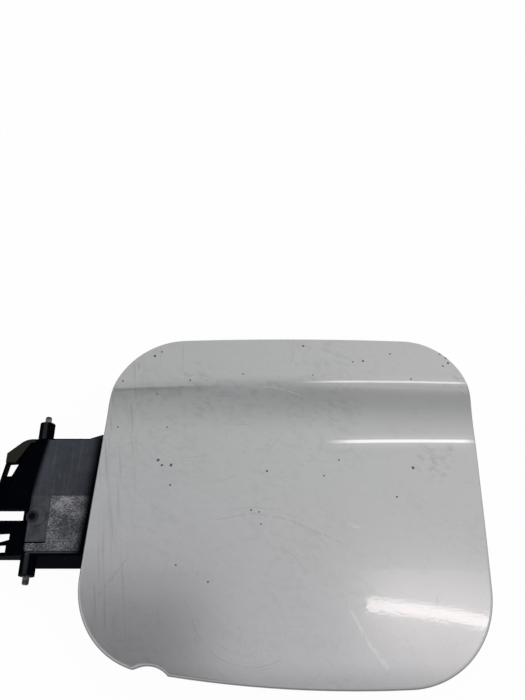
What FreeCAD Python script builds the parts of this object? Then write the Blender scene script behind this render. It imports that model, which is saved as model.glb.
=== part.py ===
"""Fuel filler flap: a painted steel door on a moulded hinge arm that swings about a steel pin.

Frame, in millimetres: X runs from the hinge to the free edge, Y is up on the car, Z is the way
the painted face looks. The pieces are drawn about the middle of the hinge pin, and each is then
placed so that the origin lies on the hinge axis, at the shoulder of the pin's upper end.
"""
import FreeCAD, Part
import math
import os
import re

import Sketcher
from FreeCAD import Vector

# Driving dimensions

SIZES = {
    # panel outline, seen from outside, measured from the middle of the hinge pin
    "panel_top": 73.8,
    "panel_left_top": 32.4,
    "panel_left_bottom": 23.2,
    "panel_right_top": 201.4,
    "panel_right_bottom": 197.5,
    "panel_bottom_left": -70.0,
    "panel_bottom_middle": -83.2,
    "panel_bottom_right": -79.9,
    "panel_bottom_bend": 109.7,
    "corner_top_left": 35.0,
    "corner_top_right": 30.0,
    "corner_bottom_right": 39.0,
    "corner_bottom_left": 35.0,
    "bottom_bow": 500.0,
    "notch_radius": 11.4,
    "notch_across": 56.6,
    "notch_up": -84.0,
    # panel section: heights above the hinge axis, and the crown along X
    "crown_radius": 800.0,
    "crown_across": 113.0,
    "crest_height": 17.2,
    "crest_up": 49.8,
    "crest_round": 12.0,
    "top_fall": 1.4,
    "scallop_depth": 2.5,
    "scallop_up": 35.8,
    "scallop_round": 85.0,
    "crease_up": 21.1,
    "crease_fall": 1.2,
    "crease_round": 14.0,
    "field_up": -20.7,
    "field_fall": 1.1,
    "field_round": 700.0,
    "skirt_up": -70.7,
    "skirt_fall": 3.1,
    # sheet metal
    "skin_sheet": 0.8,
    "inner_sheet": 0.7,
    "hem_width": 7.0,
    "hem_round": 1.4,
    "hem_bevel": 0.8,
    "sheet_gap": 0.05,
    "dish_inset": 17.0,
    "dish_floor": 8.0,
    "dish_draft": 45.0,
    "drain_bore": 9.0,
    "drain_across": 100.0,
    "drain_spacing_x": 60.0,
    "drain_spacing_y": 92.0,
    "drain_up": -6.7,
    # hinge pin and pivot
    "pin_diameter": 3.4,
    "pin_end_diameter": 3.0,
    "pin_end_length": 3.4,
    "pin_shoulder": 0.4,
    "pin_dome": 0.8,
    "boss_diameter": 7.0,
    "boss_span": 70.7,
    "boss_root": 25.5,
    "barrel_diameter": 5.8,
    "pin_clearance": 0.05,
    # hinge arm
    "deck_top": 3.6,
    "deck_wall": 3.0,
    "deck_half": 27.0,
    "deck_nose": -2.5,
    "deck_corner": 3.0,
    "arm_end": 86.0,
    "arm_depth": 14.2,
    "arm_flare": 12.0,
    "arm_wall": 2.6,
    "keel_start": 24.0,
    "keel_tip_drop": 5.0,
    "deck_edge_round": 1.4,
    "bend_up": 1.8,
    "bend_angle": 15.0,
    "bend_slope": 9.0,
    "gusset_start": 22.0,
    "gusset_end": 42.0,
    "gusset_rise": 6.5,
    "step_height": 0.6,
    "step_start": 7.5,
    "step_end": 47.0,
    "step_tongue": 3.4,
    "step_tongue_start": -1.0,
    "slit_start": -3.4,
    "slit_width": 0.8,
    "slit_depth": 1.4,
    "step_edge": -0.8,
    "step_margin": 1.5,
    "rib_thick": 1.8,
    "rib_spacing": 14.0,
    "cross_rib_across": 34.0,
    "cross_rib_drop": 5.4,
    "foot_start": 48.0,
    "foot_half": 21.0,
    "foot_corner": 6.0,
    "tail_reach": 22.0,
    "tail_web_low": -1.0,
    "tail_web": 1.8,
    "tail_rib": 1.6,
    "tail_rib_top": 2.6,
    "tail_depth": 3.2,
    "tail_keel_depth": 7.0,
    "tail_shoulder": 5.0,
    "tail_bevel_start": 8.2,
    "tail_bevel": 7.0,
    "tail_round": 8.0,
    "tail_plate": 1.4,
    "tail_plate_inner": 5.0,
    "tail_plate_foot": 11.6,
    "cheek_reach": 16.3,
    "cheek_height": 4.4,
    "sweep_low": -18.0,
    "sweep_rib": 1.2,
    "sweep_depth": 2.6,
    "curve_start": 4.5,
    "curve_turn_across": 9.4,
    "curve_turn_up": 17.2,
    "curve_end_across": 17.0,
    "curve_end_up": 1.0,
    "curve_rib": 1.2,
    "curve_round": 5.0,
    "curve_top": 1.2,
    "slot_up": -9.2,
    "slot_width": 5.0,
    "slot_inner": 4.4,
    "slot_margin": 3.0,
    "slot_corner": 1.3,
    "slot_bar_depth": 3.0,
    "upper_gap_inner": 10.4,
    "upper_gap_foot": 13.2,
    "upper_gap_drop": 6.0,
    "gap_margin": 4.5,
    "middle_gap_rise": 8.6,
    "middle_gap_height": 3.0,
    "middle_gap_fall": 1.8,
    "middle_gap_inner": 9.6,
    "low_gap_rise": 3.3,
    "low_gap_height": 3.4,
    "low_gap_inner": 10.6,
    "low_gap_margin": 6.0,
    "spot_up": -10.2,
    "spot_diameter": 5.4,
    "spot_rise": 0.7,
    "spot_dimple": 3.0,
    "spot_skirt": 8.6,
    "spot_skirt_across": 1.8,
    "spot_skirt_rise": 0.3,
    # hinge screws, nuts and plate
    "screw_bore": 5.5,
    "screw_diameter": 5.0,
    "screw_head": 11.0,
    "screw_head_height": 3.6,
    "screw_flange": 1.2,
    "screw_hex": 8.0,
    "screw_near": 57.0,
    "screw_far": 76.0,
    "screw_half": 14.0,
    "nut_across": 9.0,
    "nut_height": 2.8,
    "plate_sheet": 1.2,
    "plate_margin": 8.0,
    "plate_corner": 4.0,
    # latch striker and its rivets
    "striker_across": 171.0,
    "striker_up": -3.7,
    "striker_base_width": 38.0,
    "striker_base_length": 15.0,
    "striker_base_height": 2.5,
    "striker_corner": 3.5,
    "striker_lug_thick": 4.0,
    "striker_lug_width": 18.0,
    "striker_lug_drop": 21.0,
    "striker_lug_round": 6.3,
    "striker_eye": 8.2,
    "striker_eye_drop": 12.0,
    "rivet_bore": 4.2,
    "rivet_diameter": 4.1,
    "rivet_head": 8.0,
    "rivet_head_height": 1.4,
    "rivet_head_bevel": 0.9,
    "rivet_tail": 6.0,
    "rivet_tail_height": 1.6,
    "rivet_spacing": 28.0,
    # rubber buffers
    "buffer_across": 168.0,
    "upper_buffer_up": 41.3,
    "lower_buffer_up": -47.7,
    "buffer_head": 14.0,
    "buffer_head_height": 6.0,
    "buffer_bevel": 2.6,
    "buffer_stem": 6.8,
    "buffer_bore": 7.0,
    "buffer_barb": 9.4,
    "buffer_barb_height": 2.2,
    "buffer_tip": 4.1,
    # mastic dabs between skin and inner
    "dab_diameter": 12.0,
    "dab_across": 113.0,
    "dab_spacing_x": 66.0,
    "dab_spacing_y": 74.0,
    "dab_up": -8.7,
}

doc = FreeCAD.newDocument("fuel_filler_flap")
sheet = doc.addObject("Spreadsheet::Sheet", "Sizes")
for row, (alias, number) in enumerate(SIZES.items(), start=1):
    sheet.set(f"A{row}", alias)
    sheet.set(f"B{row}", str(number))
    sheet.setAlias(f"B{row}", alias)
doc.recompute()

ALIAS = re.compile(r"\b(" + "|".join(SIZES) + r")\b")


def bound(text):
    """A sum of size names, written as an expression on the sheet."""
    return ALIAS.sub(r"Sizes.\1", text)


def value(text):
    """The number that a sum of size names gives now."""
    return float(sheet.evalExpression(bound(text)))


def bind(item, name, text):
    """Ties a property of an object to a sum of size names."""
    item.setExpression(name, bound(text))


# Sketch helpers

def origin_plane(body, role):
    """One of a body's own origin planes."""
    return next(feature for feature in body.Origin.OriginFeatures if feature.Role == role)


def body_sketch(body, name, role, height="0"):
    """A sketch on a body's origin plane, lifted along the plane's normal."""
    sketch = body.newObject("Sketcher::SketchObject", name)
    sketch.AttachmentSupport = (origin_plane(body, role), [""])
    sketch.MapMode = "FlatFace"
    bind(sketch, "AttachmentOffset.Base.z", height)
    return sketch


def pin_point(sketch, geometry, point, across, up):
    """Fixes one point of a sketch at a place given by size names."""
    for kind, text in (("DistanceX", across), ("DistanceY", up)):
        index = sketch.addConstraint(Sketcher.Constraint(kind, geometry, point, value(text)))
        bind(sketch, f"Constraints[{index}]", text)


def draw_circle(sketch, across, up, diameter):
    """A circle whose centre and diameter follow size names."""
    centre = Vector(value(across), value(up), 0)
    circle = sketch.addGeometry(Part.Circle(centre, Vector(0, 0, 1), value(diameter) / 2), False)
    pin_point(sketch, circle, 3, across, up)
    index = sketch.addConstraint(Sketcher.Constraint("Diameter", circle, value(diameter)))
    bind(sketch, f"Constraints[{index}]", diameter)


def corner_round(before, corner, after, radius):
    """Tangent points, centre and turn of the arc that rounds one corner of an outline."""
    towards_before = (before - corner).normalize()
    towards_after = (after - corner).normalize()
    half = towards_before.getAngle(towards_after) / 2
    reach = radius / math.tan(half)
    centre = corner + (towards_before + towards_after).normalize() * (radius / math.sin(half))
    turn = (corner - before).cross(after - corner).z
    return corner + towards_before * reach, corner + towards_after * reach, centre, turn


def draw_outline(sketch, corners):
    """A closed outline through corners of (across, up, radius); radius None leaves a corner sharp."""
    places = [Vector(value(across), value(up), 0) for across, up, radius in corners]
    count = len(corners)
    starts = []
    ends = []
    arcs = []
    for index, (across, up, radius) in enumerate(corners):
        corner = places[index]
        if radius is None:
            starts.append(corner)
            ends.append(corner)
            arcs.append(None)
            continue
        size = value(radius)
        arrive, leave, centre, turn = corner_round(places[index - 1], corner,
                                                   places[(index + 1) % count], size)
        first, last = (arrive, leave) if turn > 0 else (leave, arrive)
        circle = Part.Circle(centre, Vector(0, 0, 1), size)
        arc = Part.ArcOfCircle(circle, circle.parameter(first), circle.parameter(last))
        arcs.append((sketch.addGeometry(arc, False), 1 if turn > 0 else 2))
        starts.append(leave)
        ends.append(arrive)
    lines = [sketch.addGeometry(Part.LineSegment(starts[index], ends[(index + 1) % count]), False)
             for index in range(count)]
    for index, (across, up, radius) in enumerate(corners):
        before, after = lines[index - 1], lines[index]
        if radius is None:
            sketch.addConstraint(Sketcher.Constraint("Coincident", before, 2, after, 1))
            pin_point(sketch, after, 1, across, up)
            continue
        arc, arriving = arcs[index]
        sketch.addConstraint(Sketcher.Constraint("Tangent", before, 2, arc, arriving))
        sketch.addConstraint(Sketcher.Constraint("Tangent", after, 1, arc, 3 - arriving))
        index_radius = sketch.addConstraint(Sketcher.Constraint("Radius", arc, value(radius)))
        bind(sketch, f"Constraints[{index_radius}]", radius)
        mark = sketch.addGeometry(Part.Point(places[index]), True)
        pin_point(sketch, mark, 1, across, up)
        sketch.addConstraint(Sketcher.Constraint("PointOnObject", mark, 1, before))
        sketch.addConstraint(Sketcher.Constraint("PointOnObject", mark, 1, after))


def draw_box(sketch, left, right, low, high, radius=None):
    """A rectangle between four size sums, with rounded or sharp corners."""
    draw_outline(sketch, [(left, low, radius), (right, low, radius),
                          (right, high, radius), (left, high, radius)])


# Solid helpers

def cut(name, base, *tools):
    """The base with every tool taken off it."""
    for number, tool in enumerate(tools):
        feature = doc.addObject("Part::Cut", f"{name}_{number}")
        feature.Base = base
        feature.Tool = tool
        base = feature
    return base


def common(name, first, second):
    """What two solids share."""
    feature = doc.addObject("Part::Common", name)
    feature.Base = first
    feature.Tool = second
    return feature


def fuse(name, *pieces):
    """Several solids made one."""
    feature = doc.addObject("Part::MultiFuse", name)
    feature.Shapes = list(pieces)
    feature.Refine = False
    return feature


# Panel form: a section swept round the crown, and an outline with the notch taken out

ABOVE = "crest_height * 3"
COLUMN = "crest_height * 1.6"
MARGIN = "panel_top"
SWEEP_ANGLE = 30

section = doc.addObject("Sketcher::SketchObject", "outside_section")
section.Placement = FreeCAD.Placement(Vector(), FreeCAD.Rotation(Vector(1, 1, 1), 120))
bind(section, "Placement.Base.x", "crown_across")
draw_outline(section, [
    (f"panel_top + {MARGIN}", f"crest_height - top_fall * (panel_top + {MARGIN} - crest_up)"
                              " / (panel_top - crest_up)", None),
    (f"panel_top + {MARGIN}", ABOVE, None),
    (f"panel_bottom_middle - {MARGIN}", ABOVE, None),
    (f"panel_bottom_middle - {MARGIN}",
     "crest_height - field_fall - (skirt_fall - field_fall)"
     f" * (field_up - panel_bottom_middle + {MARGIN}) / (field_up - skirt_up)", None),
    ("field_up", "crest_height - field_fall", "field_round"),
    ("crease_up", "crest_height - crease_fall", "crease_round"),
    ("scallop_up", "crest_height - scallop_depth", "scallop_round"),
    ("crest_up", "crest_height", "crest_round"),
])


def offset_line(name, sketch, distance):
    """A closed sketch grown by a distance, or shrunk by a negative one."""
    grown = doc.addObject("Part::Offset2D", name)
    grown.Source = sketch
    bind(grown, "Value", distance)
    grown.Join = 0
    return grown


def outside(name, depth):
    """All that lies outside the panel's face, or a depth further into the metal."""
    region = doc.addObject("Part::Revolution", name)
    region.Source = section
    if depth is not None:
        region.Source = offset_line(f"{name}_section", section, depth)
    region.Axis = Vector(0, 1, 0)
    bind(region, "Base.x", "crown_across")
    bind(region, "Base.z", "crest_height - crown_radius")
    region.Angle = SWEEP_ANGLE
    region.Symmetric = True
    region.Solid = True
    return region


outline = doc.addObject("Sketcher::SketchObject", "panel_outline")
draw_outline(outline, [
    ("panel_left_top", "panel_top", "corner_top_left"),
    ("panel_left_bottom", "panel_bottom_left", "corner_bottom_left"),
    ("panel_bottom_bend", "panel_bottom_middle", "bottom_bow"),
    ("panel_right_bottom", "panel_bottom_right", "corner_bottom_right"),
    ("panel_right_top", "panel_top", "corner_top_right"),
])


def inset_outline(name, inset):
    """The panel outline, or the same line a distance further in."""
    if inset == "0":
        return outline
    return offset_line(f"{name}_outline", outline, f"0 - ({inset})")


def panel_column(name, inset):
    """An upright column of the panel outline with its notch, a distance further in."""
    column = doc.addObject("Part::Extrusion", f"{name}_column")
    column.Base = inset_outline(name, inset)
    column.DirMode = "Custom"
    column.Dir = Vector(0, 0, 1)
    bind(column, "LengthFwd", COLUMN)
    column.Solid = True
    notch = doc.addObject("Part::Cylinder", f"{name}_notch")
    bind(notch, "Radius", f"notch_radius + {inset}")
    bind(notch, "Height", COLUMN)
    bind(notch, "Placement.Base.x", "notch_across")
    bind(notch, "Placement.Base.y", "notch_up")
    return cut(name, column, notch)


# Panel skins

HEM_DEPTH = "skin_sheet * 2 + inner_sheet + sheet_gap * 2"
FLANGE_DEPTH = "skin_sheet + sheet_gap"

face = outside("face_side", None)
skin_under = outside("skin_under", "skin_sheet")
flange_side = outside("flange_side", FLANGE_DEPTH)
flange_under = outside("flange_under", f"{FLANGE_DEPTH} + inner_sheet")
slot_under = outside("slot_under", f"{FLANGE_DEPTH} + inner_sheet + sheet_gap")
hem_under = outside("hem_under", HEM_DEPTH)
clear_under = outside("clear_under", f"{HEM_DEPTH} + skin_sheet")

hem_blank = common("hem_blank", cut("hem_band", hem_under, face), panel_column("edge", "0"))
doc.recompute()


def is_upright(surface):
    """Whether a face stands upright, as the walls of the panel's edge do."""
    low_u, high_u, low_v, high_v = surface.ParameterRange
    normal = surface.normalAt((low_u + high_u) / 2, (low_v + high_v) / 2)
    return abs(normal.z) < max(abs(normal.x), abs(normal.y))


def rim_edges(shape, on_face):
    """Numbers of the edges where an upright wall meets the face, or else the underside."""
    numbers = []
    for number, edge in enumerate(shape.Edges, start=1):
        walls = [surface for surface in shape.ancestorsOfType(edge, Part.Face) if is_upright(surface)]
        if len(walls) == 1 and (edge.CenterOfMass.z > walls[0].CenterOfMass.z) == on_face:
            numbers.append(number)
    return numbers


def eased_rim(kind, name, blank, on_face, size):
    """A blank whose rim is rounded or bevelled on the face side or the underside."""
    eased = doc.addObject(kind, name)
    eased.Base = blank
    eased.Edges = [(number, value(size), value(size)) for number in rim_edges(blank.Shape, on_face)]
    doc.recompute()
    return eased


rounded_hem = eased_rim("Part::Fillet", "rounded_hem", hem_blank, True, "hem_round")
bevelled_hem = eased_rim("Part::Chamfer", "bevelled_hem", rounded_hem, False, "hem_bevel")

hem_slot = common("hem_slot", slot_under, panel_column("slot", "skin_sheet"))
hem_window = common("hem_window", clear_under, panel_column("window", "hem_width"))
hem_hollow = cut("hem_hollow", fuse("hem_space", hem_slot, hem_window), skin_under)
outer_skin = cut("outer_skin", bevelled_hem, hem_hollow)

DISH_UNDER = "dish_floor - inner_sheet"


def dish(name, inset, floor):
    """A tray space that widens upward from a floor inside the panel outline."""
    tray = doc.addObject("Part::Extrusion", name)
    tray.Base = inset_outline(name, inset)
    tray.DirMode = "Custom"
    tray.Dir = Vector(0, 0, 1)
    bind(tray, "LengthFwd", "crest_height")
    bind(tray, "TaperAngle", "dish_draft")
    tray.Solid = True
    bind(tray, "Placement.Base.z", floor)
    return tray


dish_solid = cut("dish_solid", dish("dish_outside", "dish_inset", DISH_UNDER), flange_side)
dish_space = dish("dish_space", "dish_inset + inner_sheet"
                  " * (1 / cos(dish_draft * 1deg) - tan(dish_draft * 1deg))", "dish_floor")
flange = common("flange", cut("flange_band", flange_under, flange_side),
                panel_column("flange_edge", FLANGE_DEPTH))


def floor_hole(name, across, up, diameter):
    """A drill through the inner panel's floor."""
    drill = doc.addObject("Part::Cylinder", name)
    bind(drill, "Radius", f"({diameter}) / 2")
    bind(drill, "Height", "inner_sheet * 4")
    bind(drill, "Placement.Base.x", across)
    bind(drill, "Placement.Base.y", up)
    bind(drill, "Placement.Base.z", "dish_floor - inner_sheet * 2.5")
    return drill


SCREW_PLACES = [("screw_near", "screw_half"), ("screw_near", "0 - screw_half"), ("screw_far", "0")]
RIVET_PLACES = [("striker_across", f"striker_up + {side} * rivet_spacing / 2") for side in (1, -1)]


def four_places(name):
    """Four places round a middle, from the sizes that start with a name."""
    return [(f"{name}_across + {column} * {name}_spacing_x / 2", f"{name}_up + {line} * {name}_spacing_y / 2")
            for column in (-1, 1) for line in (-1, 1)]


DRAIN_PLACES = four_places("drain")
DAB_PLACES = four_places("dab")
BUFFER_PLACES = {"upper_buffer": "upper_buffer_up", "lower_buffer": "lower_buffer_up"}

floor_drills = []
for number, (across, up) in enumerate(SCREW_PLACES):
    floor_drills.append(floor_hole(f"screw_drill_{number}", across, up, "screw_bore"))
for number, (across, up) in enumerate(RIVET_PLACES):
    floor_drills.append(floor_hole(f"rivet_drill_{number}", across, up, "rivet_bore"))
for number, (across, up) in enumerate(DRAIN_PLACES):
    floor_drills.append(floor_hole(f"drain_drill_{number}", across, up, "drain_bore"))
for name, up in BUFFER_PLACES.items():
    floor_drills.append(floor_hole(f"{name}_drill", "buffer_across", up, "buffer_bore"))
inner_panel = cut("inner_panel", fuse("inner_blank", flange, dish_solid), dish_space,
                  fuse("floor_drills", *floor_drills))

mastic = []
for number, (across, up) in enumerate(DAB_PLACES):
    dab = doc.addObject("Part::Cylinder", f"dab_{number}")
    bind(dab, "Radius", "dab_diameter / 2")
    bind(dab, "Height", COLUMN + " - dish_floor")
    bind(dab, "Placement.Base.x", across)
    bind(dab, "Placement.Base.y", up)
    bind(dab, "Placement.Base.z", "dish_floor")
    mastic.append(dab)
mastic_dabs = cut("mastic_dabs", fuse("dab_columns", *mastic), flange_side)


# Feature helpers

def new_body(name):
    """An empty body that takes the name of its piece."""
    return doc.addObject("PartDesign::Body", name)


def pad(body, sketch, name, length, up=True, middle=False, taper="0"):
    """Material raised from a sketch."""
    feature = body.newObject("PartDesign::Pad", name)
    feature.Profile = sketch
    feature.SideType = "Symmetric" if middle else "One side"
    feature.Reversed = not up
    bind(feature, "Length", length)
    bind(feature, "TaperAngle", taper)
    return feature


def pocket(body, sketch, name, length, down=True, middle=False, taper="0"):
    """Material taken out below a sketch, or above it."""
    feature = body.newObject("PartDesign::Pocket", name)
    feature.Profile = sketch
    feature.SideType = "Symmetric" if middle else "One side"
    feature.Reversed = not down
    bind(feature, "Length", length)
    bind(feature, "TaperAngle", taper)
    return feature


def level_edges(shape, height):
    """Names of the edges that lie level at a height."""
    return [f"Edge{number}" for number, edge in enumerate(shape.Edges, start=1)
            if all(abs(corner.Z - height) < 0.001 for corner in edge.Vertexes)]


def turned(body, name, profile):
    """A solid turned about an upright axis from a profile of (radius, height) corners."""
    sketch = body_sketch(body, f"{name}_profile", "XZ_Plane")
    draw_outline(sketch, profile)
    feature = body.newObject("PartDesign::Revolution", name)
    feature.Profile = sketch
    feature.ReferenceAxis = (sketch, ["V_Axis"])
    feature.Angle = 360
    return feature


def group(name, body, places, height):
    """One node of several like pieces, each a link to the first."""
    copies = []
    for number, (across, up) in enumerate(places):
        copy = doc.addObject("App::Link", f"{name}_{number}")
        copy.LinkedObject = body
        bind(copy, "Placement.Base.x", across)
        bind(copy, "Placement.Base.y", up)
        bind(copy, "Placement.Base.z", height)
        copies.append(copy)
    node = doc.addObject("Part::Compound", name)
    node.Links = copies
    return node


# Hinge pin, with turned-down ends that stand out of the bosses

PIN_SHOULDER = "boss_span / 2 + pin_shoulder"
PIN_TIP = "boss_span / 2 + pin_shoulder + pin_end_length"

hinge_pin = new_body("hinge_pin")
pin_sketch = body_sketch(hinge_pin, "pin_profile", "XY_Plane")
draw_outline(pin_sketch, [
    ("0", f"0 - ({PIN_TIP})", None),
    ("pin_end_diameter / 2", f"0 - ({PIN_TIP})", "pin_dome"),
    ("pin_end_diameter / 2", f"0 - ({PIN_SHOULDER})", None),
    ("pin_diameter / 2", f"0 - ({PIN_SHOULDER})", None),
    ("pin_diameter / 2", PIN_SHOULDER, None),
    ("pin_end_diameter / 2", PIN_SHOULDER, None),
    ("pin_end_diameter / 2", PIN_TIP, "pin_dome"),
    ("0", PIN_TIP, None),
])
pin_turn = hinge_pin.newObject("PartDesign::Revolution", "pin_turn")
pin_turn.Profile = pin_sketch
pin_turn.ReferenceAxis = (pin_sketch, ["V_Axis"])
pin_turn.Angle = 360

# Hinge arm

DECK_UNDER = "deck_top - deck_wall"
ARM_LOW = "deck_top - arm_depth"
KEEL_TIP = "deck_top - keel_tip_drop"
FOOT_TOP = DISH_UNDER
NOSE_IN = "deck_nose + arm_wall / 2"

arm = new_body("hinge_arm")

deck_sketch = body_sketch(arm, "deck_outline", "XY_Plane", "deck_top")
draw_box(deck_sketch, "deck_nose", "arm_end", "0 - deck_half", "deck_half", "deck_corner")
deck_block = pad(arm, deck_sketch, "deck_block", "arm_depth", up=False, taper="arm_flare")
doc.recompute()

deck_edge = arm.newObject("PartDesign::Fillet", "deck_edge")
deck_edge.Base = (deck_block, level_edges(deck_block.Shape, value("deck_top")))
bind(deck_edge, "Radius", "deck_edge_round")

# The deck's upper corner falls away towards the tail along a slanting bend

bend_sketch = body_sketch(arm, "deck_bend_line", "XZ_Plane", "0 - bend_up")
bend_turn = FreeCAD.Rotation(Vector(0, -1, 0), value("bend_angle"))
bend_sketch.AttachmentOffset = FreeCAD.Placement(Vector(), bend_turn)
bind(bend_sketch, "AttachmentOffset.Base.x", "deck_nose")
bind(bend_sketch, "AttachmentOffset.Rotation.Angle", "bend_angle")
draw_outline(bend_sketch, [
    ("0", "deck_top", None),
    ("0 - deck_half", "deck_top", None),
    ("0 - deck_half", "deck_top - deck_half * tan(bend_slope * 1deg)", None),
])
pocket(arm, bend_sketch, "deck_bend", "deck_half * 4", middle=True)

gusset_sketch = body_sketch(arm, "gusset_outline", "XY_Plane", "deck_top")
draw_outline(gusset_sketch, [
    ("gusset_start", "deck_half - deck_edge_round", None),
    ("gusset_end", "deck_half - deck_edge_round", None),
    ("gusset_end", "deck_half + gusset_rise", None),
    ("gusset_start", "deck_half", None),
])
pad(arm, gusset_sketch, "gusset", "deck_wall", up=False)

keel_sketch = body_sketch(arm, "keel_line", "XZ_Plane")
draw_outline(keel_sketch, [
    ("keel_start", ARM_LOW, None),
    ("arm_end + arm_depth", ARM_LOW, None),
    ("arm_end + arm_depth", KEEL_TIP, None),
    ("arm_end", KEEL_TIP, None),
])
pocket(arm, keel_sketch, "keel_cut", "deck_half * 4", middle=True)

hollow_sketch = body_sketch(arm, "hollow_outline", "XY_Plane", DECK_UNDER)
draw_box(hollow_sketch, "deck_nose + arm_wall", "arm_end - arm_wall",
         "arm_wall - deck_half", "deck_half - arm_wall", "deck_corner")
pocket(arm, hollow_sketch, "hollow", "arm_depth", taper="arm_flare")

for side, sign in (("upper", "-"), ("lower", "")):
    rib_sketch = body_sketch(arm, f"{side}_rib_line", "XZ_Plane", f"{sign}rib_spacing / 2")
    draw_outline(rib_sketch, [
        (NOSE_IN, f"{ARM_LOW} + arm_wall", None),
        ("keel_start", f"{ARM_LOW} + arm_wall", None),
        ("arm_end - arm_wall / 2", f"{KEEL_TIP} + arm_wall / 2", None),
        ("arm_end - arm_wall / 2", f"{DECK_UNDER} + deck_wall / 2", None),
        (NOSE_IN, f"{DECK_UNDER} + deck_wall / 2", None),
    ])
    pad(arm, rib_sketch, f"{side}_rib", "rib_thick", middle=True)

cross_sketch = body_sketch(arm, "cross_rib_line", "YZ_Plane", "cross_rib_across")
draw_box(cross_sketch, "arm_wall / 2 - deck_half", "deck_half - arm_wall / 2",
         f"{DECK_UNDER} - cross_rib_drop", f"{DECK_UNDER} + deck_wall / 2")
pad(arm, cross_sketch, "cross_rib", "rib_thick", middle=True)

foot_sketch = body_sketch(arm, "foot_outline", "XY_Plane", f"{DECK_UNDER} + deck_wall / 2")
draw_box(foot_sketch, "foot_start", "arm_end - arm_wall / 2", "0 - foot_half", "foot_half", "foot_corner")
pad(arm, foot_sketch, "foot", f"{FOOT_TOP} - ({DECK_UNDER}) - deck_wall / 2")

# Open tail behind the pivot: a thin web that slopes down from the deck's nose, with a raised upper rim, a
# plate at its upper corner, ribs and openings

TAIL_LOW = "0 - tail_depth"
TAIL_INSIDE = "(deck_half - tail_rib) * 2"
NOSE_FOOT = "deck_nose - arm_depth * tan(arm_flare * 1deg)"
CHEEK_TOP = "deck_half - tail_bevel"
CHEEK_LOW = "deck_half - tail_bevel - cheek_height"

tail_sketch = body_sketch(arm, "tail_outline", "XY_Plane", "tail_rib_top")
draw_outline(tail_sketch, [
    ("0 - tail_reach", "tail_shoulder - deck_half", None),
    ("tail_shoulder - tail_reach", "0 - deck_half", None),
    (NOSE_IN, "0 - deck_half", None),
    (NOSE_IN, "deck_half", None),
    ("0 - tail_bevel_start", "deck_half", "tail_round"),
    ("0 - cheek_reach", CHEEK_TOP, None),
    ("0 - cheek_reach", CHEEK_LOW, None),
    ("0 - tail_reach", "sweep_low", None),
])
pad(arm, tail_sketch, "tail_block", f"tail_rib_top - ({TAIL_LOW})", up=False)

fall_sketch = body_sketch(arm, "tail_fall_line", "XZ_Plane", "tail_rib - deck_half")
draw_outline(fall_sketch, [
    ("deck_nose", "tail_rib_top", None),
    ("0 - tail_reach", "tail_rib_top", None),
    ("0 - tail_reach", "tail_web_low", None),
])
pocket(arm, fall_sketch, "tail_fall", "deck_half * 2", down=False)

under_sketch = body_sketch(arm, "tail_under_line", "XZ_Plane")
draw_outline(under_sketch, [
    ("0 - tail_reach", TAIL_LOW, None),
    (NOSE_FOOT, TAIL_LOW, None),
    (NOSE_FOOT, "tail_web_low - tail_web + (tail_rib_top - tail_web_low)"
                f" * ({NOSE_FOOT} + tail_reach) / (deck_nose + tail_reach)", None),
    ("0 - tail_reach", "tail_web_low - tail_web", None),
])
pocket(arm, under_sketch, "tail_under", TAIL_INSIDE, middle=True)

tail_keel_sketch = body_sketch(arm, "tail_keel_outline", "XY_Plane", "tail_web_low")
draw_box(tail_keel_sketch, "tail_shoulder - tail_reach", NOSE_IN, "0 - deck_half", "tail_rib - deck_half")
pad(arm, tail_keel_sketch, "tail_keel", "tail_keel_depth + tail_web_low", up=False)

plate_corner_sketch = body_sketch(arm, "tail_plate_outline", "XY_Plane", "tail_rib_top")
draw_outline(plate_corner_sketch, [
    ("0 - cheek_reach", CHEEK_LOW, None),
    ("0 - tail_plate_foot", CHEEK_LOW, None),
    ("0 - tail_plate_inner", "deck_half", None),
    ("0 - tail_bevel_start", "deck_half", "tail_round"),
    ("0 - cheek_reach", CHEEK_TOP, None),
])
pad(arm, plate_corner_sketch, "tail_plate", "tail_plate", up=False)

curve_sketch = body_sketch(arm, "curved_rib_outline", "XY_Plane", "curve_top")
draw_outline(curve_sketch, [
    ("0 - curve_start", "curve_turn_up", None),
    ("0 - curve_turn_across", "curve_turn_up", "curve_round"),
    ("0 - curve_end_across", "curve_end_up", None),
    ("curve_rib - curve_end_across", "curve_end_up", None),
    ("curve_rib / 2 - curve_turn_across", "curve_turn_up - curve_rib", "curve_round - curve_rib"),
    ("0 - curve_start", "curve_turn_up - curve_rib", None),
])
pad(arm, curve_sketch, "curved_rib", "curve_top - tail_web_low + tail_web / 2", up=False)

gap_sketch = body_sketch(arm, "tail_gaps_outline", "XY_Plane", "tail_rib_top")
draw_box(gap_sketch, "slot_margin - tail_reach", "0 - slot_inner",
         "slot_up - slot_width / 2 - tail_rib", "slot_up + slot_width / 2 + tail_rib", "slot_corner")
GAP_SWEEP = f"upper_gap_drop * (tail_reach - cheek_reach) / ({CHEEK_LOW} - sweep_low)"
draw_outline(gap_sketch, [
    (f"sweep_rib - cheek_reach - {GAP_SWEEP}", f"{CHEEK_LOW} - upper_gap_drop", None),
    ("0 - upper_gap_foot", f"{CHEEK_LOW} - upper_gap_drop", None),
    ("0 - upper_gap_inner", CHEEK_LOW, None),
    ("sweep_rib - cheek_reach", CHEEK_LOW, None),
])
MIDDLE_GAP = "middle_gap_rise - deck_half"
draw_outline(gap_sketch, [
    ("gap_margin - tail_reach", f"{MIDDLE_GAP} - middle_gap_height / 2 - middle_gap_fall", None),
    ("0 - middle_gap_inner", f"{MIDDLE_GAP} - middle_gap_height / 2", None),
    ("0 - middle_gap_inner", f"{MIDDLE_GAP} + middle_gap_height / 2", None),
    ("gap_margin - tail_reach", f"{MIDDLE_GAP} + middle_gap_height / 2", None),
])
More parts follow.
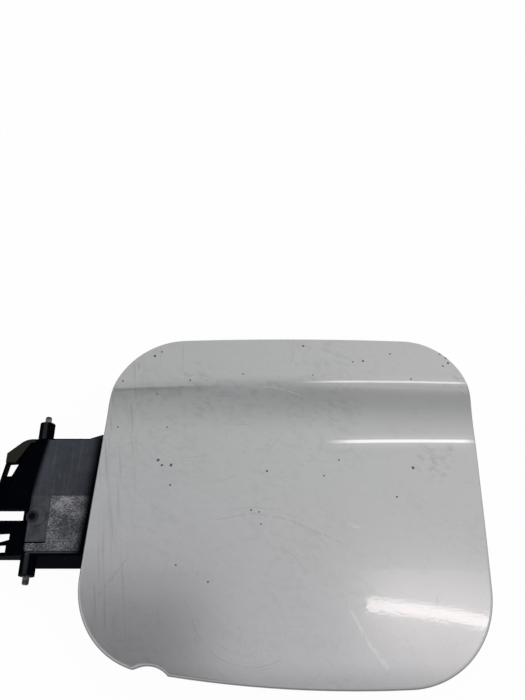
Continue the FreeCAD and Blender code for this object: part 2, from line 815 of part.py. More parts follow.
draw_box(gap_sketch, "low_gap_margin - tail_reach", "0 - low_gap_inner",
         "low_gap_rise - deck_half - low_gap_height / 2", "low_gap_rise - deck_half + low_gap_height / 2")
pocket(arm, gap_sketch, "tail_gaps", f"tail_rib_top - ({TAIL_LOW})")

sweep_sketch = body_sketch(arm, "sweep_rib_outline", "XY_Plane", "tail_rib_top - tail_plate / 2")
draw_outline(sweep_sketch, [
    ("0 - cheek_reach", CHEEK_LOW, None),
    ("0 - tail_reach", "sweep_low", None),
    ("sweep_rib - tail_reach", "sweep_low", None),
    ("sweep_rib - cheek_reach", CHEEK_LOW, None),
])
pad(arm, sweep_sketch, "sweep_rib", "sweep_depth", up=False)

bar_sketch = body_sketch(arm, "slot_bars_outline", "XY_Plane", "tail_rib_top")
for edge in ("slot_up + slot_width / 2", "slot_up - slot_width / 2 - tail_rib"):
    draw_box(bar_sketch, "slot_margin / 2 - tail_reach", NOSE_IN, edge, f"{edge} + tail_rib")
pad(arm, bar_sketch, "slot_bars", "slot_bar_depth", up=False)

# Pivot barrel, its bore and the marks on the deck

barrel_sketch = body_sketch(arm, "barrel_ring", "XZ_Plane")
draw_circle(barrel_sketch, "0", "0", "barrel_diameter")
pad(arm, barrel_sketch, "barrel", "boss_span", middle=True)

for side, root, up in (("upper", "0 - boss_root", False), ("lower", "boss_root", True)):
    boss_sketch = body_sketch(arm, f"{side}_boss_ring", "XZ_Plane", root)
    draw_circle(boss_sketch, "0", "0", "boss_diameter")
    pad(arm, boss_sketch, f"{side}_boss", "boss_span / 2 - boss_root", up=up)

step_sketch = body_sketch(arm, "deck_step_outline", "XY_Plane", f"{DECK_UNDER} + deck_wall / 2")
STEP_LOW = "step_margin - deck_half"
draw_outline(step_sketch, [
    ("step_tongue_start", STEP_LOW, None),
    ("step_end", STEP_LOW, None),
    ("step_end", "step_edge", None),
    ("step_start", "step_edge", None),
    ("step_start", f"{STEP_LOW} + step_tongue", None),
    ("step_tongue_start", f"{STEP_LOW} + step_tongue", None),
])
pad(arm, step_sketch, "deck_step", "deck_wall / 2 + step_height")

slit_sketch = body_sketch(arm, "deck_slit_outline", "XY_Plane", "deck_top + step_height")
draw_box(slit_sketch, "slit_start", "step_start",
         f"{STEP_LOW} + step_tongue", f"{STEP_LOW} + step_tongue + slit_width")
pocket(arm, slit_sketch, "deck_slit", "step_height + slit_depth")

spot_sketch = body_sketch(arm, "spot_ring", "XY_Plane")
draw_circle(spot_sketch, "0", "spot_up", "spot_diameter")
pad(arm, spot_sketch, "spot", "deck_top + spot_rise")

skirt_sketch = body_sketch(arm, "spot_skirt_ring", "XY_Plane", f"{DECK_UNDER} + deck_wall / 2")
draw_circle(skirt_sketch, "spot_skirt_across", "spot_up", "spot_skirt")
pad(arm, skirt_sketch, "spot_skirt", "deck_wall / 2 + spot_skirt_rise")

dimple_sketch = body_sketch(arm, "dimple_ring", "XY_Plane", "deck_top + spot_rise")
draw_circle(dimple_sketch, "0", "spot_up", "spot_dimple")
pocket(arm, dimple_sketch, "dimple", "spot_rise * 2")

bore_sketch = body_sketch(arm, "pin_bore_ring", "XZ_Plane")
draw_circle(bore_sketch, "0", "0", "pin_diameter + pin_clearance * 2")
pocket(arm, bore_sketch, "pin_bore", "boss_span * 2", middle=True)

screw_hole_sketch = body_sketch(arm, "screw_hole_rings", "XY_Plane", FOOT_TOP)
for across, up in SCREW_PLACES:
    draw_circle(screw_hole_sketch, across, up, "screw_bore")
pocket(arm, screw_hole_sketch, "screw_holes", "arm_depth * 2")
doc.recompute()

# Screws, nuts and the plate behind them

screw = new_body("screw")
turned(screw, "screw_turn", [
    ("0", "0 - screw_flange", None),
    ("screw_head / 2", "0 - screw_flange", None),
    ("screw_head / 2", "0", None),
    ("screw_diameter / 2", "0", None),
    ("screw_diameter / 2", f"dish_floor + plate_sheet + nut_height - ({DECK_UNDER})", None),
    ("0", f"dish_floor + plate_sheet + nut_height - ({DECK_UNDER})", None),
])


def draw_hexagon(sketch, across_flats):
    """A hexagon about the sketch's origin, from its size across the flats."""
    corners = []
    for number in range(6):
        angle = f"({number} * 60deg)"
        corners.append((f"({across_flats}) / cos(30deg) / 2 * cos{angle}",
                        f"({across_flats}) / cos(30deg) / 2 * sin{angle}", None))
    draw_outline(sketch, corners)


hex_sketch = body_sketch(screw, "hex_outline", "XY_Plane")
draw_hexagon(hex_sketch, "screw_hex")
pad(screw, hex_sketch, "hex_head", "screw_head_height", up=False)
arm_screws = group("arm_screws", screw, SCREW_PLACES, DECK_UNDER)

nut = new_body("nut")
nut_sketch = body_sketch(nut, "nut_outline", "XY_Plane")
draw_hexagon(nut_sketch, "nut_across")
draw_circle(nut_sketch, "0", "0", "screw_diameter + pin_clearance * 2")
pad(nut, nut_sketch, "nut_block", "nut_height")
weld_nuts = group("weld_nuts", nut, SCREW_PLACES, "dish_floor + plate_sheet")

backing_plate = new_body("backing_plate")
plate_sketch = body_sketch(backing_plate, "plate_outline", "XY_Plane", "dish_floor")
draw_box(plate_sketch, "screw_near - plate_margin", "screw_far + plate_margin",
         "0 - screw_half - plate_margin", "screw_half + plate_margin", "plate_corner")
for across, up in SCREW_PLACES:
    draw_circle(plate_sketch, across, up, "screw_bore")
pad(backing_plate, plate_sketch, "plate", "plate_sheet")

# Latch striker and its rivets

striker = new_body("latch_striker")
base_sketch = body_sketch(striker, "striker_base_outline", "XY_Plane", DISH_UNDER)
draw_box(base_sketch,
         "striker_across - striker_base_length / 2", "striker_across + striker_base_length / 2",
         "striker_up - striker_base_width / 2", "striker_up + striker_base_width / 2", "striker_corner")
pad(striker, base_sketch, "striker_base", "striker_base_height", up=False)
lug_sketch = body_sketch(striker, "striker_lug_outline", "YZ_Plane", "striker_across")
draw_outline(lug_sketch, [
    ("striker_up - striker_lug_width / 2", f"{DISH_UNDER} - striker_base_height / 2", None),
    ("striker_up - striker_lug_width / 2", f"{DISH_UNDER} - striker_lug_drop", "striker_lug_round"),
    ("striker_up + striker_lug_width / 2", f"{DISH_UNDER} - striker_lug_drop", "striker_lug_round"),
    ("striker_up + striker_lug_width / 2", f"{DISH_UNDER} - striker_base_height / 2", None),
])
draw_circle(lug_sketch, "striker_up", f"{DISH_UNDER} - striker_eye_drop", "striker_eye")
pad(striker, lug_sketch, "striker_lug", "striker_lug_thick", middle=True)
rivet_hole_sketch = body_sketch(striker, "rivet_hole_rings", "XY_Plane", DISH_UNDER)
for across, up in RIVET_PLACES:
    draw_circle(rivet_hole_sketch, across, up, "rivet_bore")
pocket(striker, rivet_hole_sketch, "rivet_holes", "striker_base_height * 2")

RIVET_GRIP = "striker_base_height + inner_sheet"
rivet = new_body("rivet")
turned(rivet, "rivet_turn", [
    ("0", "0 - rivet_head_height", None),
    ("rivet_head / 2 - rivet_head_bevel", "0 - rivet_head_height", None),
    ("rivet_head / 2", "rivet_head_bevel - rivet_head_height", None),
    ("rivet_head / 2", "0", None),
    ("rivet_diameter / 2", "0", None),
    ("rivet_diameter / 2", RIVET_GRIP, None),
    ("rivet_tail / 2", RIVET_GRIP, None),
    ("rivet_tail / 2", f"{RIVET_GRIP} + rivet_tail_height", None),
    ("0", f"{RIVET_GRIP} + rivet_tail_height", None),
])
striker_rivets = group("striker_rivets", rivet, RIVET_PLACES, f"{DISH_UNDER} - striker_base_height")

# Rubber buffers

buffers = []
for name, up in BUFFER_PLACES.items():
    buffer = new_body(name)
    turned(buffer, f"{name}_turn", [
        ("0", "0 - buffer_head_height", None),
        ("buffer_head / 2 - buffer_bevel", "0 - buffer_head_height", None),
        ("buffer_head / 2", "buffer_bevel - buffer_head_height", None),
        ("buffer_head / 2", "0", None),
        ("buffer_stem / 2", "0", None),
        ("buffer_stem / 2", "inner_sheet", None),
        ("buffer_barb / 2", "inner_sheet", None),
        ("buffer_tip / 2", "inner_sheet + buffer_barb_height", None),
        ("0", "inner_sheet + buffer_barb_height", None),
    ])
    bind(buffer, "Placement.Base.x", "buffer_across")
    bind(buffer, "Placement.Base.y", up)
    bind(buffer, "Placement.Base.z", DISH_UNDER)
    buffers.append(buffer)

# Placing every node about the upper end of the hinge, and writing it out

nodes = {
    "outer_skin": outer_skin,
    "inner_panel": inner_panel,
    "mastic_dabs": mastic_dabs,
    "hinge_arm": arm,
    "hinge_pin": hinge_pin,
    "backing_plate": backing_plate,
    "weld_nuts": weld_nuts,
    "arm_screws": arm_screws,
    "latch_striker": striker,
    "striker_rivets": striker_rivets,
    "upper_buffer": buffers[0],
    "lower_buffer": buffers[1],
}
for name, node in nodes.items():
    node.Label = name
    up = BUFFER_PLACES.get(name, "0")
    bind(node, "Placement.Base.y", f"{up} - ({PIN_SHOULDER})")
doc.recompute()

for item in doc.Objects:
    if "Invalid" in item.State or "Error" in item.State:
        raise RuntimeError(f"{item.Name} did not build: {item.State}")
for name, node in nodes.items():
    if node.Shape.isNull() or not node.Shape.isValid():
        raise RuntimeError(f"{name} is not a valid solid")

os.makedirs("parts", exist_ok=True)
for name, node in nodes.items():
    node.Shape.exportStep(f"parts/{name}.step")
    box = node.Shape.BoundBox
    print(f"{name}: {len(node.Shape.Solids)} solids, {node.Shape.Volume:.0f} mm3,"
          f" x {box.XMin:.1f} to {box.XMax:.1f}, y {box.YMin:.1f} to {box.YMax:.1f},"
          f" z {box.ZMin:.1f} to {box.ZMax:.1f}")
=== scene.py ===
"""Looks of a fuel filler flap: silver paint with its wear, a black moulded hinge arm and plated steel.

Everything is in metres, in the frame of the flap: X runs from the hinge to the free edge, Y is up on
the car and Z is the way the painted face looks. The hinge axis is the line X = 0, Z = 0.
Only the marks on the painted face are listed in millimetres.
"""
import logging
import math
from dataclasses import dataclass
from enum import Enum

import bmesh
import bpy
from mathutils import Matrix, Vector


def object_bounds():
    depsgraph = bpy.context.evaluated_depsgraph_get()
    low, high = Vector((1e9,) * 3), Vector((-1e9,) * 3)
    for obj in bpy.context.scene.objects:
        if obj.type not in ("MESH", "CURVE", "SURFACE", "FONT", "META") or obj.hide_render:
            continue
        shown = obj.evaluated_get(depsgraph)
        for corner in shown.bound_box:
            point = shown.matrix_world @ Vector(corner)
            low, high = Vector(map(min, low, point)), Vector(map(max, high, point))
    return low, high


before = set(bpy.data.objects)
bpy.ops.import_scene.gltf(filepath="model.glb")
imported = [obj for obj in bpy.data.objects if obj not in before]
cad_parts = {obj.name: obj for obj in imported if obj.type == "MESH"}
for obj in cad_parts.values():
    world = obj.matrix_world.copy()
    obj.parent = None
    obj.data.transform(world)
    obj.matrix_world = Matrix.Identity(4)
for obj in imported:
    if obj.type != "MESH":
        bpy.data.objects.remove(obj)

LOG = logging.getLogger("fuel_flap")
CAD_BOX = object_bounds()
MILLIMETRE = 0.001

Colour = tuple[float, float, float, float]
Shape = tuple[float, float, float]
Span = tuple[float, float]
Socket = bpy.types.NodeSocket
Source = Socket | float | tuple
Wires = dict[str, Socket]
Parts = bpy.types.bpy_prop_collection

# The stretch that most values of a noise fall in
MOST_NOISE: Span = (0.3, 0.7)


def srgb(red: int, green: int, blue: int) -> Colour:
    """Turns a colour as seen on a screen into the linear colour that shaders use.

    Args:
        red: Red from 0 to 255.
        green: Green from 0 to 255.
        blue: Blue from 0 to 255.

    Returns:
        The linear colour with full alpha.
    """
    linear = []
    for level in (red, green, blue):
        share = level / 255
        linear.append(share / 12.92 if share <= 0.04045 else ((share + 0.055) / 1.055) ** 2.4)
    return (*linear, 1.0)


class Graph:
    """A node tree with short calls that add nodes and wire them."""

    def __init__(self, tree: bpy.types.NodeTree) -> None:
        """Keeps the tree that the nodes go into."""
        self.tree = tree

    def feed(self, socket: Socket, source: Source) -> None:
        """Wires a socket to another one, or sets it to a plain value.

        Args:
            socket: The input to fill.
            source: An output socket, a number, a vector or a colour.
        """
        if isinstance(source, Socket):
            self.tree.links.new(source, socket)
        else:
            socket.default_value = source

    def add(self, kind: str, inputs: dict[str | int, Source] | None = None,
            **settings: object) -> bpy.types.Node:
        """Adds a node.

        Args:
            kind: The node's type name.
            inputs: What each input takes, by the input's name or number.
            **settings: Properties of the node itself, set before its inputs.

        Returns:
            The new node.
        """
        node = self.tree.nodes.new(kind)
        for name, setting in settings.items():
            setattr(node, name, setting)
        for name, source in (inputs or {}).items():
            self.feed(node.inputs[name], source)
        return node

    def math(self, operation: str, first: Source, second: Source = 0.0) -> Socket:
        """Works out one sum of two values.

        Args:
            operation: The kind of sum, such as MULTIPLY.
            first: The first value.
            second: The second value, where the sum has one.

        Returns:
            The result.
        """
        return self.add("ShaderNodeMath", {0: first, 1: second}, operation=operation).outputs[0]

    def product(self, *values: Source) -> Socket:
        """Multiplies several values together.

        Args:
            *values: Two or more values.

        Returns:
            Their product.
        """
        result = values[0]
        for value in values[1:]:
            result = self.math("MULTIPLY", result, value)
        return result

    def most(self, *values: Source) -> Socket:
        """Takes the largest of several values.

        Args:
            *values: Two or more values.

        Returns:
            The largest one.
        """
        result = values[0]
        for value in values[1:]:
            result = self.math("MAXIMUM", result, value)
        return result

    def fade(self, value: Source, start: float, end: float, low: float = 0.0, high: float = 1.0) -> Socket:
        """Runs smoothly from one level to another as a value passes a stretch.

        Args:
            value: The value that is watched.
            start: Where the change starts.
            end: Where the change ends.
            low: The level at the start.
            high: The level at the end.

        Returns:
            The level.
        """
        inputs = {"Value": value, "From Min": start, "From Max": end, "To Min": low, "To Max": high}
        return self.add("ShaderNodeMapRange", inputs, interpolation_type="SMOOTHSTEP").outputs["Result"]

    def band(self, value: Source, middle: float, half: float, soft: float) -> Socket:
        """Marks a stretch of a value with soft ends.

        Args:
            value: The value that is watched.
            middle: The middle of the stretch.
            half: Half the stretch's width.
            soft: The width over which each end fades.

        Returns:
            1 inside the stretch and 0 outside it.
        """
        away = self.math("ABSOLUTE", self.math("SUBTRACT", value, middle))
        return self.fade(away, half, half + soft, 1.0, 0.0)

    def mix(self, share: Source, first: Source, second: Source) -> Socket:
        """Mixes two colours.

        Args:
            share: How much of the second colour shows.
            first: The first colour.
            second: The second colour.

        Returns:
            The mixed colour.
        """
        inputs = {0: share, 6: first, 7: second}
        return self.add("ShaderNodeMix", inputs, data_type="RGBA", clamp_factor=True).outputs[2]

    def noise(self, place: Source, scale: Source, detail: float = 2.0, roughness: float = 0.5) -> Socket:
        """Adds cloudy noise.

        Args:
            place: Where each point lies.
            scale: Cells to the metre.
            detail: How many finer layers are added.
            roughness: How strong the finer layers are.

        Returns:
            The noise, about 0.5 on average.
        """
        inputs = {"Vector": place, "Scale": scale, "Detail": detail, "Roughness": roughness}
        return self.add("ShaderNodeTexNoise", inputs).outputs["Fac"]

    def stretch(self, place: Source, scale: Shape, turn: float = 0.0) -> Socket:
        """Scales places by axis after turning them about Z.

        Args:
            place: Where each point lies.
            scale: The scale along each axis.
            turn: The turn in degrees.

        Returns:
            The changed places.
        """
        inputs = {"Vector": place, "Rotation": (0.0, 0.0, math.radians(turn))}
        turned = self.add("ShaderNodeMapping", inputs).outputs[0]
        return self.add("ShaderNodeVectorMath", {0: turned, 1: scale}, operation="MULTIPLY").outputs[0]

    def away(self, place: Source, across: Source, up: Source) -> Socket:
        """Gives the distance from a spot on the face, seen straight on.

        Args:
            place: Where each point lies.
            across: The spot's X.
            up: The spot's Y.

        Returns:
            The distance.
        """
        parts = self.add("ShaderNodeSeparateXYZ", {0: place}).outputs
        aside = self.math("SUBTRACT", parts[0], across)
        above = self.math("SUBTRACT", parts[1], up)
        return self.math("SQRT", self.math("ADD", self.product(aside, aside), self.product(above, above)))

    def bump(self, height: Source, depth: float) -> Socket:
        """Turns a height over the surface into a normal.

        Args:
            height: The height, from 0 to 1.
            depth: The real depth in metres that 1 stands for.

        Returns:
            The normal.
        """
        inputs = {"Height": height, "Distance": depth, "Strength": 1.0}
        return self.add("ShaderNodeBump", inputs).outputs["Normal"]


class Effect:
    """A node group that several finishes share, built the first time that it is placed."""

    title = "effect"
    inputs: dict[str, float | None] = {}
    outputs: tuple[str, ...] = ("Mask",)

    @classmethod
    def wire(cls, graph: Graph, given: Wires) -> Wires:
        """Builds the inside of the group.

        Args:
            graph: The inside of the group.
            given: The group's inputs by name.

        Returns:
            What goes to each output.
        """
        raise NotImplementedError

    @classmethod
    def tree(cls) -> bpy.types.NodeTree:
        """Finds the group's tree, and builds it at its first use.

        Returns:
            The tree.
        """
        known = bpy.data.node_groups.get(cls.title)
        if known is not None:
            return known
        tree = bpy.data.node_groups.new(cls.title, "ShaderNodeTree")
        for name, usual in cls.inputs.items():
            kind = "NodeSocketVector" if usual is None else "NodeSocketFloat"
            socket = tree.interface.new_socket(name, in_out="INPUT", socket_type=kind)
            if usual is not None:
                socket.default_value = usual
        for name in cls.outputs:
            tree.interface.new_socket(name, in_out="OUTPUT", socket_type="NodeSocketFloat")
        graph = Graph(tree)
        entry = graph.add("NodeGroupInput")
        given = {name: entry.outputs[name] for name in cls.inputs}
        graph.add("NodeGroupOutput", cls.wire(graph, given))
        return tree

    @classmethod
    def place(cls, graph: Graph, position: Source, **values: Source) -> bpy.types.Node:
        """Places the group in a material.

        Args:
            graph: The material's nodes.
            position: Where each point of the surface lies.
            **values: The group's other inputs, by name.

        Returns:
            The group's node.
        """
        node = graph.add("ShaderNodeGroup", node_tree=cls.tree())
        graph.feed(node.inputs["Position"], position)
        for name, value in values.items():
            graph.feed(node.inputs[name], value)
        return node


class Grain(Effect):
    """The fine even grain of a moulded or sprayed surface."""

    title = "fine_grain"
    inputs = {"Position": None, "Scale": 2000.0, "Mottle": 120.0}
    outputs = ("Fine", "Broad")

    @classmethod
    def wire(cls, graph: Graph, given: Wires) -> Wires:
        """Builds a fine noise and a broad one.

        Args:
            graph: The inside of the group.
            given: The group's inputs by name.

        Returns:
            What goes to each output.
        """
        return {
            "Fine": graph.noise(given["Position"], given["Scale"], detail=3.0, roughness=0.6),
            "Broad": graph.noise(given["Position"], given["Mottle"], detail=4.0, roughness=0.55),
        }


class Dust(Effect):
    """Dust that lies in patches."""

    title = "dust_patches"
    inputs = {"Position": None, "Scale": 60.0, "Amount": 0.5}
    patch_span: Span = (0.42, 0.72)
    grain_scale = 1400.0
    grain_span: Span = (0.35, 0.7)

    @classmethod
    def wire(cls, graph: Graph, given: Wires) -> Wires:
        """Builds broad patches broken up by fine grains.

        Args:
            graph: The inside of the group.
            given: The group's inputs by name.

        Returns:
            What goes to each output.
        """
        patches = graph.fade(graph.noise(given["Position"], given["Scale"], detail=5.0), *cls.patch_span)
        grains = graph.fade(graph.noise(given["Position"], cls.grain_scale), *cls.grain_span)
        return {"Mask": graph.product(patches, grains, given["Amount"])}


class Scratches(Effect):
    """Fine scratches that run in a few crossing directions."""

    title = "fine_scratches"
    inputs = {"Position": None, "Scale": 60.0, "Share": 0.3}
    headings = (12.0, 38.0, 74.0, 121.0, 158.0)
    bend_scale = 22.0
    bend_push = 0.006
    line_shape: Shape = (1.0, 22.0, 1.0)
    line_half = 0.001
    line_soft = 0.008
    gate_shape: Shape = (1.0, 2.0, 1.0)
    gate_scale = 45.0
    gate_span: Span = (0.52, 0.62)

    @classmethod
    def wire(cls, graph: Graph, given: Wires) -> Wires:
        """Builds one layer of long thin cells for each heading.

        Args:
            graph: The inside of the group.
            given: The group's inputs by name.

        Returns:
            What goes to each output.
        """
        cloud = graph.add("ShaderNodeTexNoise", {"Vector": given["Position"], "Scale": cls.bend_scale})
        bend = {0: cloud.outputs["Color"], "Scale": cls.bend_push}
        push = graph.add("ShaderNodeVectorMath", bend, operation="SCALE").outputs[0]
        bent = graph.add("ShaderNodeVectorMath", {0: given["Position"], 1: push}).outputs[0]
        layers = []
        for heading in cls.headings:
            lines = graph.noise(graph.stretch(bent, cls.line_shape, heading), given["Scale"], detail=1.0)
            thin = graph.band(lines, 0.5, cls.line_half, cls.line_soft)
            gate = graph.noise(graph.stretch(bent, cls.gate_shape, heading), cls.gate_scale, detail=1.0)
            layers.append(graph.product(thin, graph.fade(gate, *cls.gate_span)))
        return {"Mask": graph.product(graph.most(*layers), given["Share"])}


class Specks(Effect):
    """Small round specks spread at random, each of its own size."""

    title = "stray_specks"
    inputs = {"Position": None, "Scale": 120.0, "Share": 0.1, "Size": 0.2}

    @classmethod
    def wire(cls, graph: Graph, given: Wires) -> Wires:
        """Builds a speck in some of the cells of a cell pattern.

        Args:
            graph: The inside of the group.
            given: The group's inputs by name.

        Returns:
            What goes to each output.
        """
        cells = graph.add("ShaderNodeTexVoronoi", {"Vector": given["Position"], "Scale": given["Scale"]})
        parts = graph.add("ShaderNodeSeparateColor", {0: cells.outputs["Color"]})
        chosen = graph.math("LESS_THAN", parts.outputs[0], given["Share"])
        size = graph.math("MULTIPLY", graph.math("ADD", parts.outputs[1], 0.25), given["Size"])
        return {"Mask": graph.product(chosen, graph.math("LESS_THAN", cells.outputs["Distance"], size))}


class Spot(Effect):
    """One ragged spot at a chosen place on the face."""

    title = "ragged_spot"
    inputs = {"Position": None, "Across": 0.0, "Up": 0.0, "Radius": 0.001, "Ragged": 0.5}
    wobble_scale = 1800.0
    wobble_reach = 3.0
    rim_span: Span = (0.75, 1.1)

    @classmethod
    def wire(cls, graph: Graph, given: Wires) -> Wires:
        """Builds a disc whose rim is pushed about by noise.

        Args:
            graph: The inside of the group.
            given: The group's inputs by name.

        Returns:
            What goes to each output.
        """
        away = graph.away(given["Position"], given["Across"], given["Up"])
        wobble = graph.math("SUBTRACT", graph.noise(given["Position"], cls.wobble_scale), 0.5)
        rough = graph.product(wobble, given["Ragged"], cls.wobble_reach)
        share = graph.math("ADD", graph.math("DIVIDE", away, given["Radius"]), rough)
        return {"Mask": graph.fade(share, *cls.rim_span, 1.0, 0.0)}


class Stroke(Effect):
    """One thin straight mark between two places on the face."""

    title = "thin_stroke"
    inputs = {
        "Position": None, "Width": 0.0003,
        "StartAcross": 0.0, "StartUp": 0.0, "EndAcross": 0.0, "EndUp": 0.0,
    }

    @classmethod
    def wire(cls, graph: Graph, given: Wires) -> Wires:
        """Builds a line that is broken here and there.

        Args:
            graph: The inside of the group.
            given: The group's inputs by name.

        Returns:
            What goes to each output.
        """
        parts = graph.add("ShaderNodeSeparateXYZ", {0: given["Position"]})
        across = graph.math("SUBTRACT", parts.outputs[0], given["StartAcross"])
        up = graph.math("SUBTRACT", parts.outputs[1], given["StartUp"])
        run = graph.math("SUBTRACT", given["EndAcross"], given["StartAcross"])
        rise = graph.math("SUBTRACT", given["EndUp"], given["StartUp"])
        reach = graph.math("ADD", graph.product(across, run), graph.product(up, rise))
        whole = graph.math("ADD", graph.product(run, run), graph.product(rise, rise))
        share = graph.math("MINIMUM", graph.math("MAXIMUM", graph.math("DIVIDE", reach, whole), 0.0), 1.0)
        aside = graph.math("SUBTRACT", across, graph.product(run, share))
        above = graph.math("SUBTRACT", up, graph.product(rise, share))
        away = graph.math("SQRT", graph.math("ADD", graph.product(aside, aside), graph.product(above, above)))
        line = graph.fade(graph.math("DIVIDE", away, given["Width"]), 0.3, 1.0, 1.0, 0.0)
        broken = graph.fade(graph.noise(given["Position"], 700.0), 0.36, 0.5)
        return {"Mask": graph.product(line, broken)}


class WipeMarks(Effect):
    """Fine arcs left by a cloth that was rubbed round and round."""

    title = "wipe_marks"
    inputs = {"Position": None, "Across": 0.0, "Up": 0.0, "Reach": 0.03}

    @classmethod
    def wire(cls, graph: Graph, given: Wires) -> Wires:
        """Builds thin broken arcs some way out from the middle.

        Args:
            graph: The inside of the group.
            given: The group's inputs by name.

        Returns:
            What goes to each output.
        """
        away = graph.away(given["Position"], given["Across"], given["Up"])
        ring = graph.add("ShaderNodeCombineXYZ", {0: away}).outputs[0]
        lines = graph.fade(graph.noise(ring, 900.0, detail=1.0), 0.56, 0.66)
        patches = graph.fade(graph.noise(given["Position"], 90.0, detail=3.0), 0.48, 0.64)
        share = graph.math("DIVIDE", away, given["Reach"])
        return {"Mask": graph.product(lines, patches, graph.band(share, 0.72, 0.1, 0.18))}


class Finish:
    """A finish that makes one material."""

    title: str

    def wire(self, graph: Graph, place: Socket, shader: bpy.types.Node) -> None:
        """Sets the shader and wires what changes over the surface.

        Args:
            graph: The material's nodes.
            place: Where each point of the surface lies.
            shader: The material's shader.
        """
        raise NotImplementedError

    def material(self) -> bpy.types.Material:
        """Finds the finish's material, and builds it at its first use.

        Returns:
            The material.
        """
        known = bpy.data.materials.get(self.title)
        if known is not None:
            return known
        material = bpy.data.materials.new(self.title)
        material.use_nodes = True
        material.node_tree.nodes.clear()
        graph = Graph(material.node_tree)
        place = graph.add("ShaderNodeTexCoord").outputs["Object"]
        shader = graph.add("ShaderNodeBsdfPrincipled")
        self.wire(graph, place, shader)
        graph.add("ShaderNodeOutputMaterial", {"Surface": shader.outputs["BSDF"]})
        return material


@dataclass(frozen=True)
class Mark:
    """A chip, a tar speck, a smear or a wiped patch on the face, in millimetres."""

    across: float
    up: float
    radius: float = 0.5

    def spot(self, graph: Graph, place: Source, ragged: float = 0.5) -> Socket:
        """Draws the mark as a ragged spot.

        Args:
            graph: The material's nodes.
            place: Where each point of the surface lies.
            ragged: How far the rim is pushed about.

        Returns:
            1 on the mark and 0 beside it.
        """
        middle = {"Across": self.across * MILLIMETRE, "Up": self.up * MILLIMETRE}
        spot = Spot.place(graph, place, Radius=self.radius * MILLIMETRE, Ragged=ragged, **middle)
        return spot.outputs["Mask"]

    def arcs(self, graph: Graph, place: Source) -> Socket:
        """Draws the arcs of a cloth about the mark's middle.

        Args:
            graph: The material's nodes.
            place: Where each point of the surface lies.

        Returns:
            1 on an arc and 0 beside it.
        """
        middle = {"Across": self.across * MILLIMETRE, "Up": self.up * MILLIMETRE}
        return WipeMarks.place(graph, place, Reach=self.radius * MILLIMETRE, **middle).outputs["Mask"]


STONE_CHIPS = (
    Mark(50.8, 29.4, 0.7), Mark(54.1, 31.6), Mark(36.5, 16.3), Mark(68.5, 15.7, 0.45), Mark(93.3, 18.4, 0.4),
    Mark(122.0, 33.8, 0.6), Mark(126.2, 17.8, 0.4), Mark(145.5, 25.2), Mark(150.4, 25.8, 0.6),
    Mark(163.7, 30.1, 0.45), Mark(172.5, 16.7, 0.45), Mark(188.3, 31.2, 0.6), Mark(190.9, 29.1, 0.7),
    Mark(191.6, 26.3, 0.6), Mark(188.9, 24.5), Mark(55.8, -23.2, 0.7), Mark(57.7, -25.6, 0.6),
    Mark(61.8, -25.7, 0.7), Mark(61.9, -34.9, 0.45), Mark(35.9, -6.3, 0.4), Mark(58.8, -7.1, 0.4),
    Mark(104.5, -29.0), Mark(169.5, -26.9, 0.8), Mark(136.5, -23.8, 0.4), Mark(161.1, -40.3, 0.45),
    Mark(97.6, -46.5, 0.45), Mark(101.0, -47.4, 0.35), Mark(101.8, -52.6, 0.35), Mark(66.3, -69.4, 0.4),
    Mark(80.0, -76.4, 0.4),
)


class Tone(Enum):
    """Whether a line on the face shows darker or paler than the paint round it; the pale ones include painted
    highlights.
    """

    DARK = "dark"
    PALE = "pale"


@dataclass(frozen=True)
class FaceLine:
    """A line on the face through two or more places in millimetres: a scratch, a painted highlight or a
    painted reflection.
    """

    places: tuple[Span, ...]
    width: float = 0.35
    tone: Tone = Tone.DARK


FACE_LINES = (
    FaceLine(((43.3, 26.4), (43.7, 22.5)), 0.5),
    FaceLine(((64.1, 35.1), (64.8, 21.2)), 0.3),
    FaceLine(((102.7, 12.1), (111.6, 10.6), (119.9, 7.8)), 0.3, Tone.PALE),
    FaceLine(((82.2, -50.7), (98.0, -47.8), (114.3, -50.9), (136.0, -60.6)), 0.3),
    FaceLine(((46.6, -65.0), (34.4, -81.0)), 0.35),
    FaceLine(((174.4, -81.6), (174.0, -86.0)), 0.4),
    # Painted reflection: a soft pale curve near the lamp's reflection, not a scratch
    FaceLine(((138.8, -88.2), (145.4, -100.7), (152.0, -109.1)), 1.1, Tone.PALE),
    # Painted highlight: the glint of a small dent, not a scratch
    FaceLine(((139.5, -53.0), (144.0, -53.8)), 1.0, Tone.PALE),
)


SMUDGES = (
    Mark(70.7, 17.8, 7.0), Mark(194.9, 18.8, 4.0), Mark(197.0, 12.6, 3.0), Mark(189.2, -17.8, 4.0),
    Mark(179.8, -22.9, 9.0),
)


@dataclass(frozen=True)
class HighlightLine:
    """A painted highlight along a ridge, in millimetres: its height, where it starts to shine and where it
    shines fully.
    """

    up: float
    start: float
    bright: float
    share: float
    lean: float
    half: float = 0.2


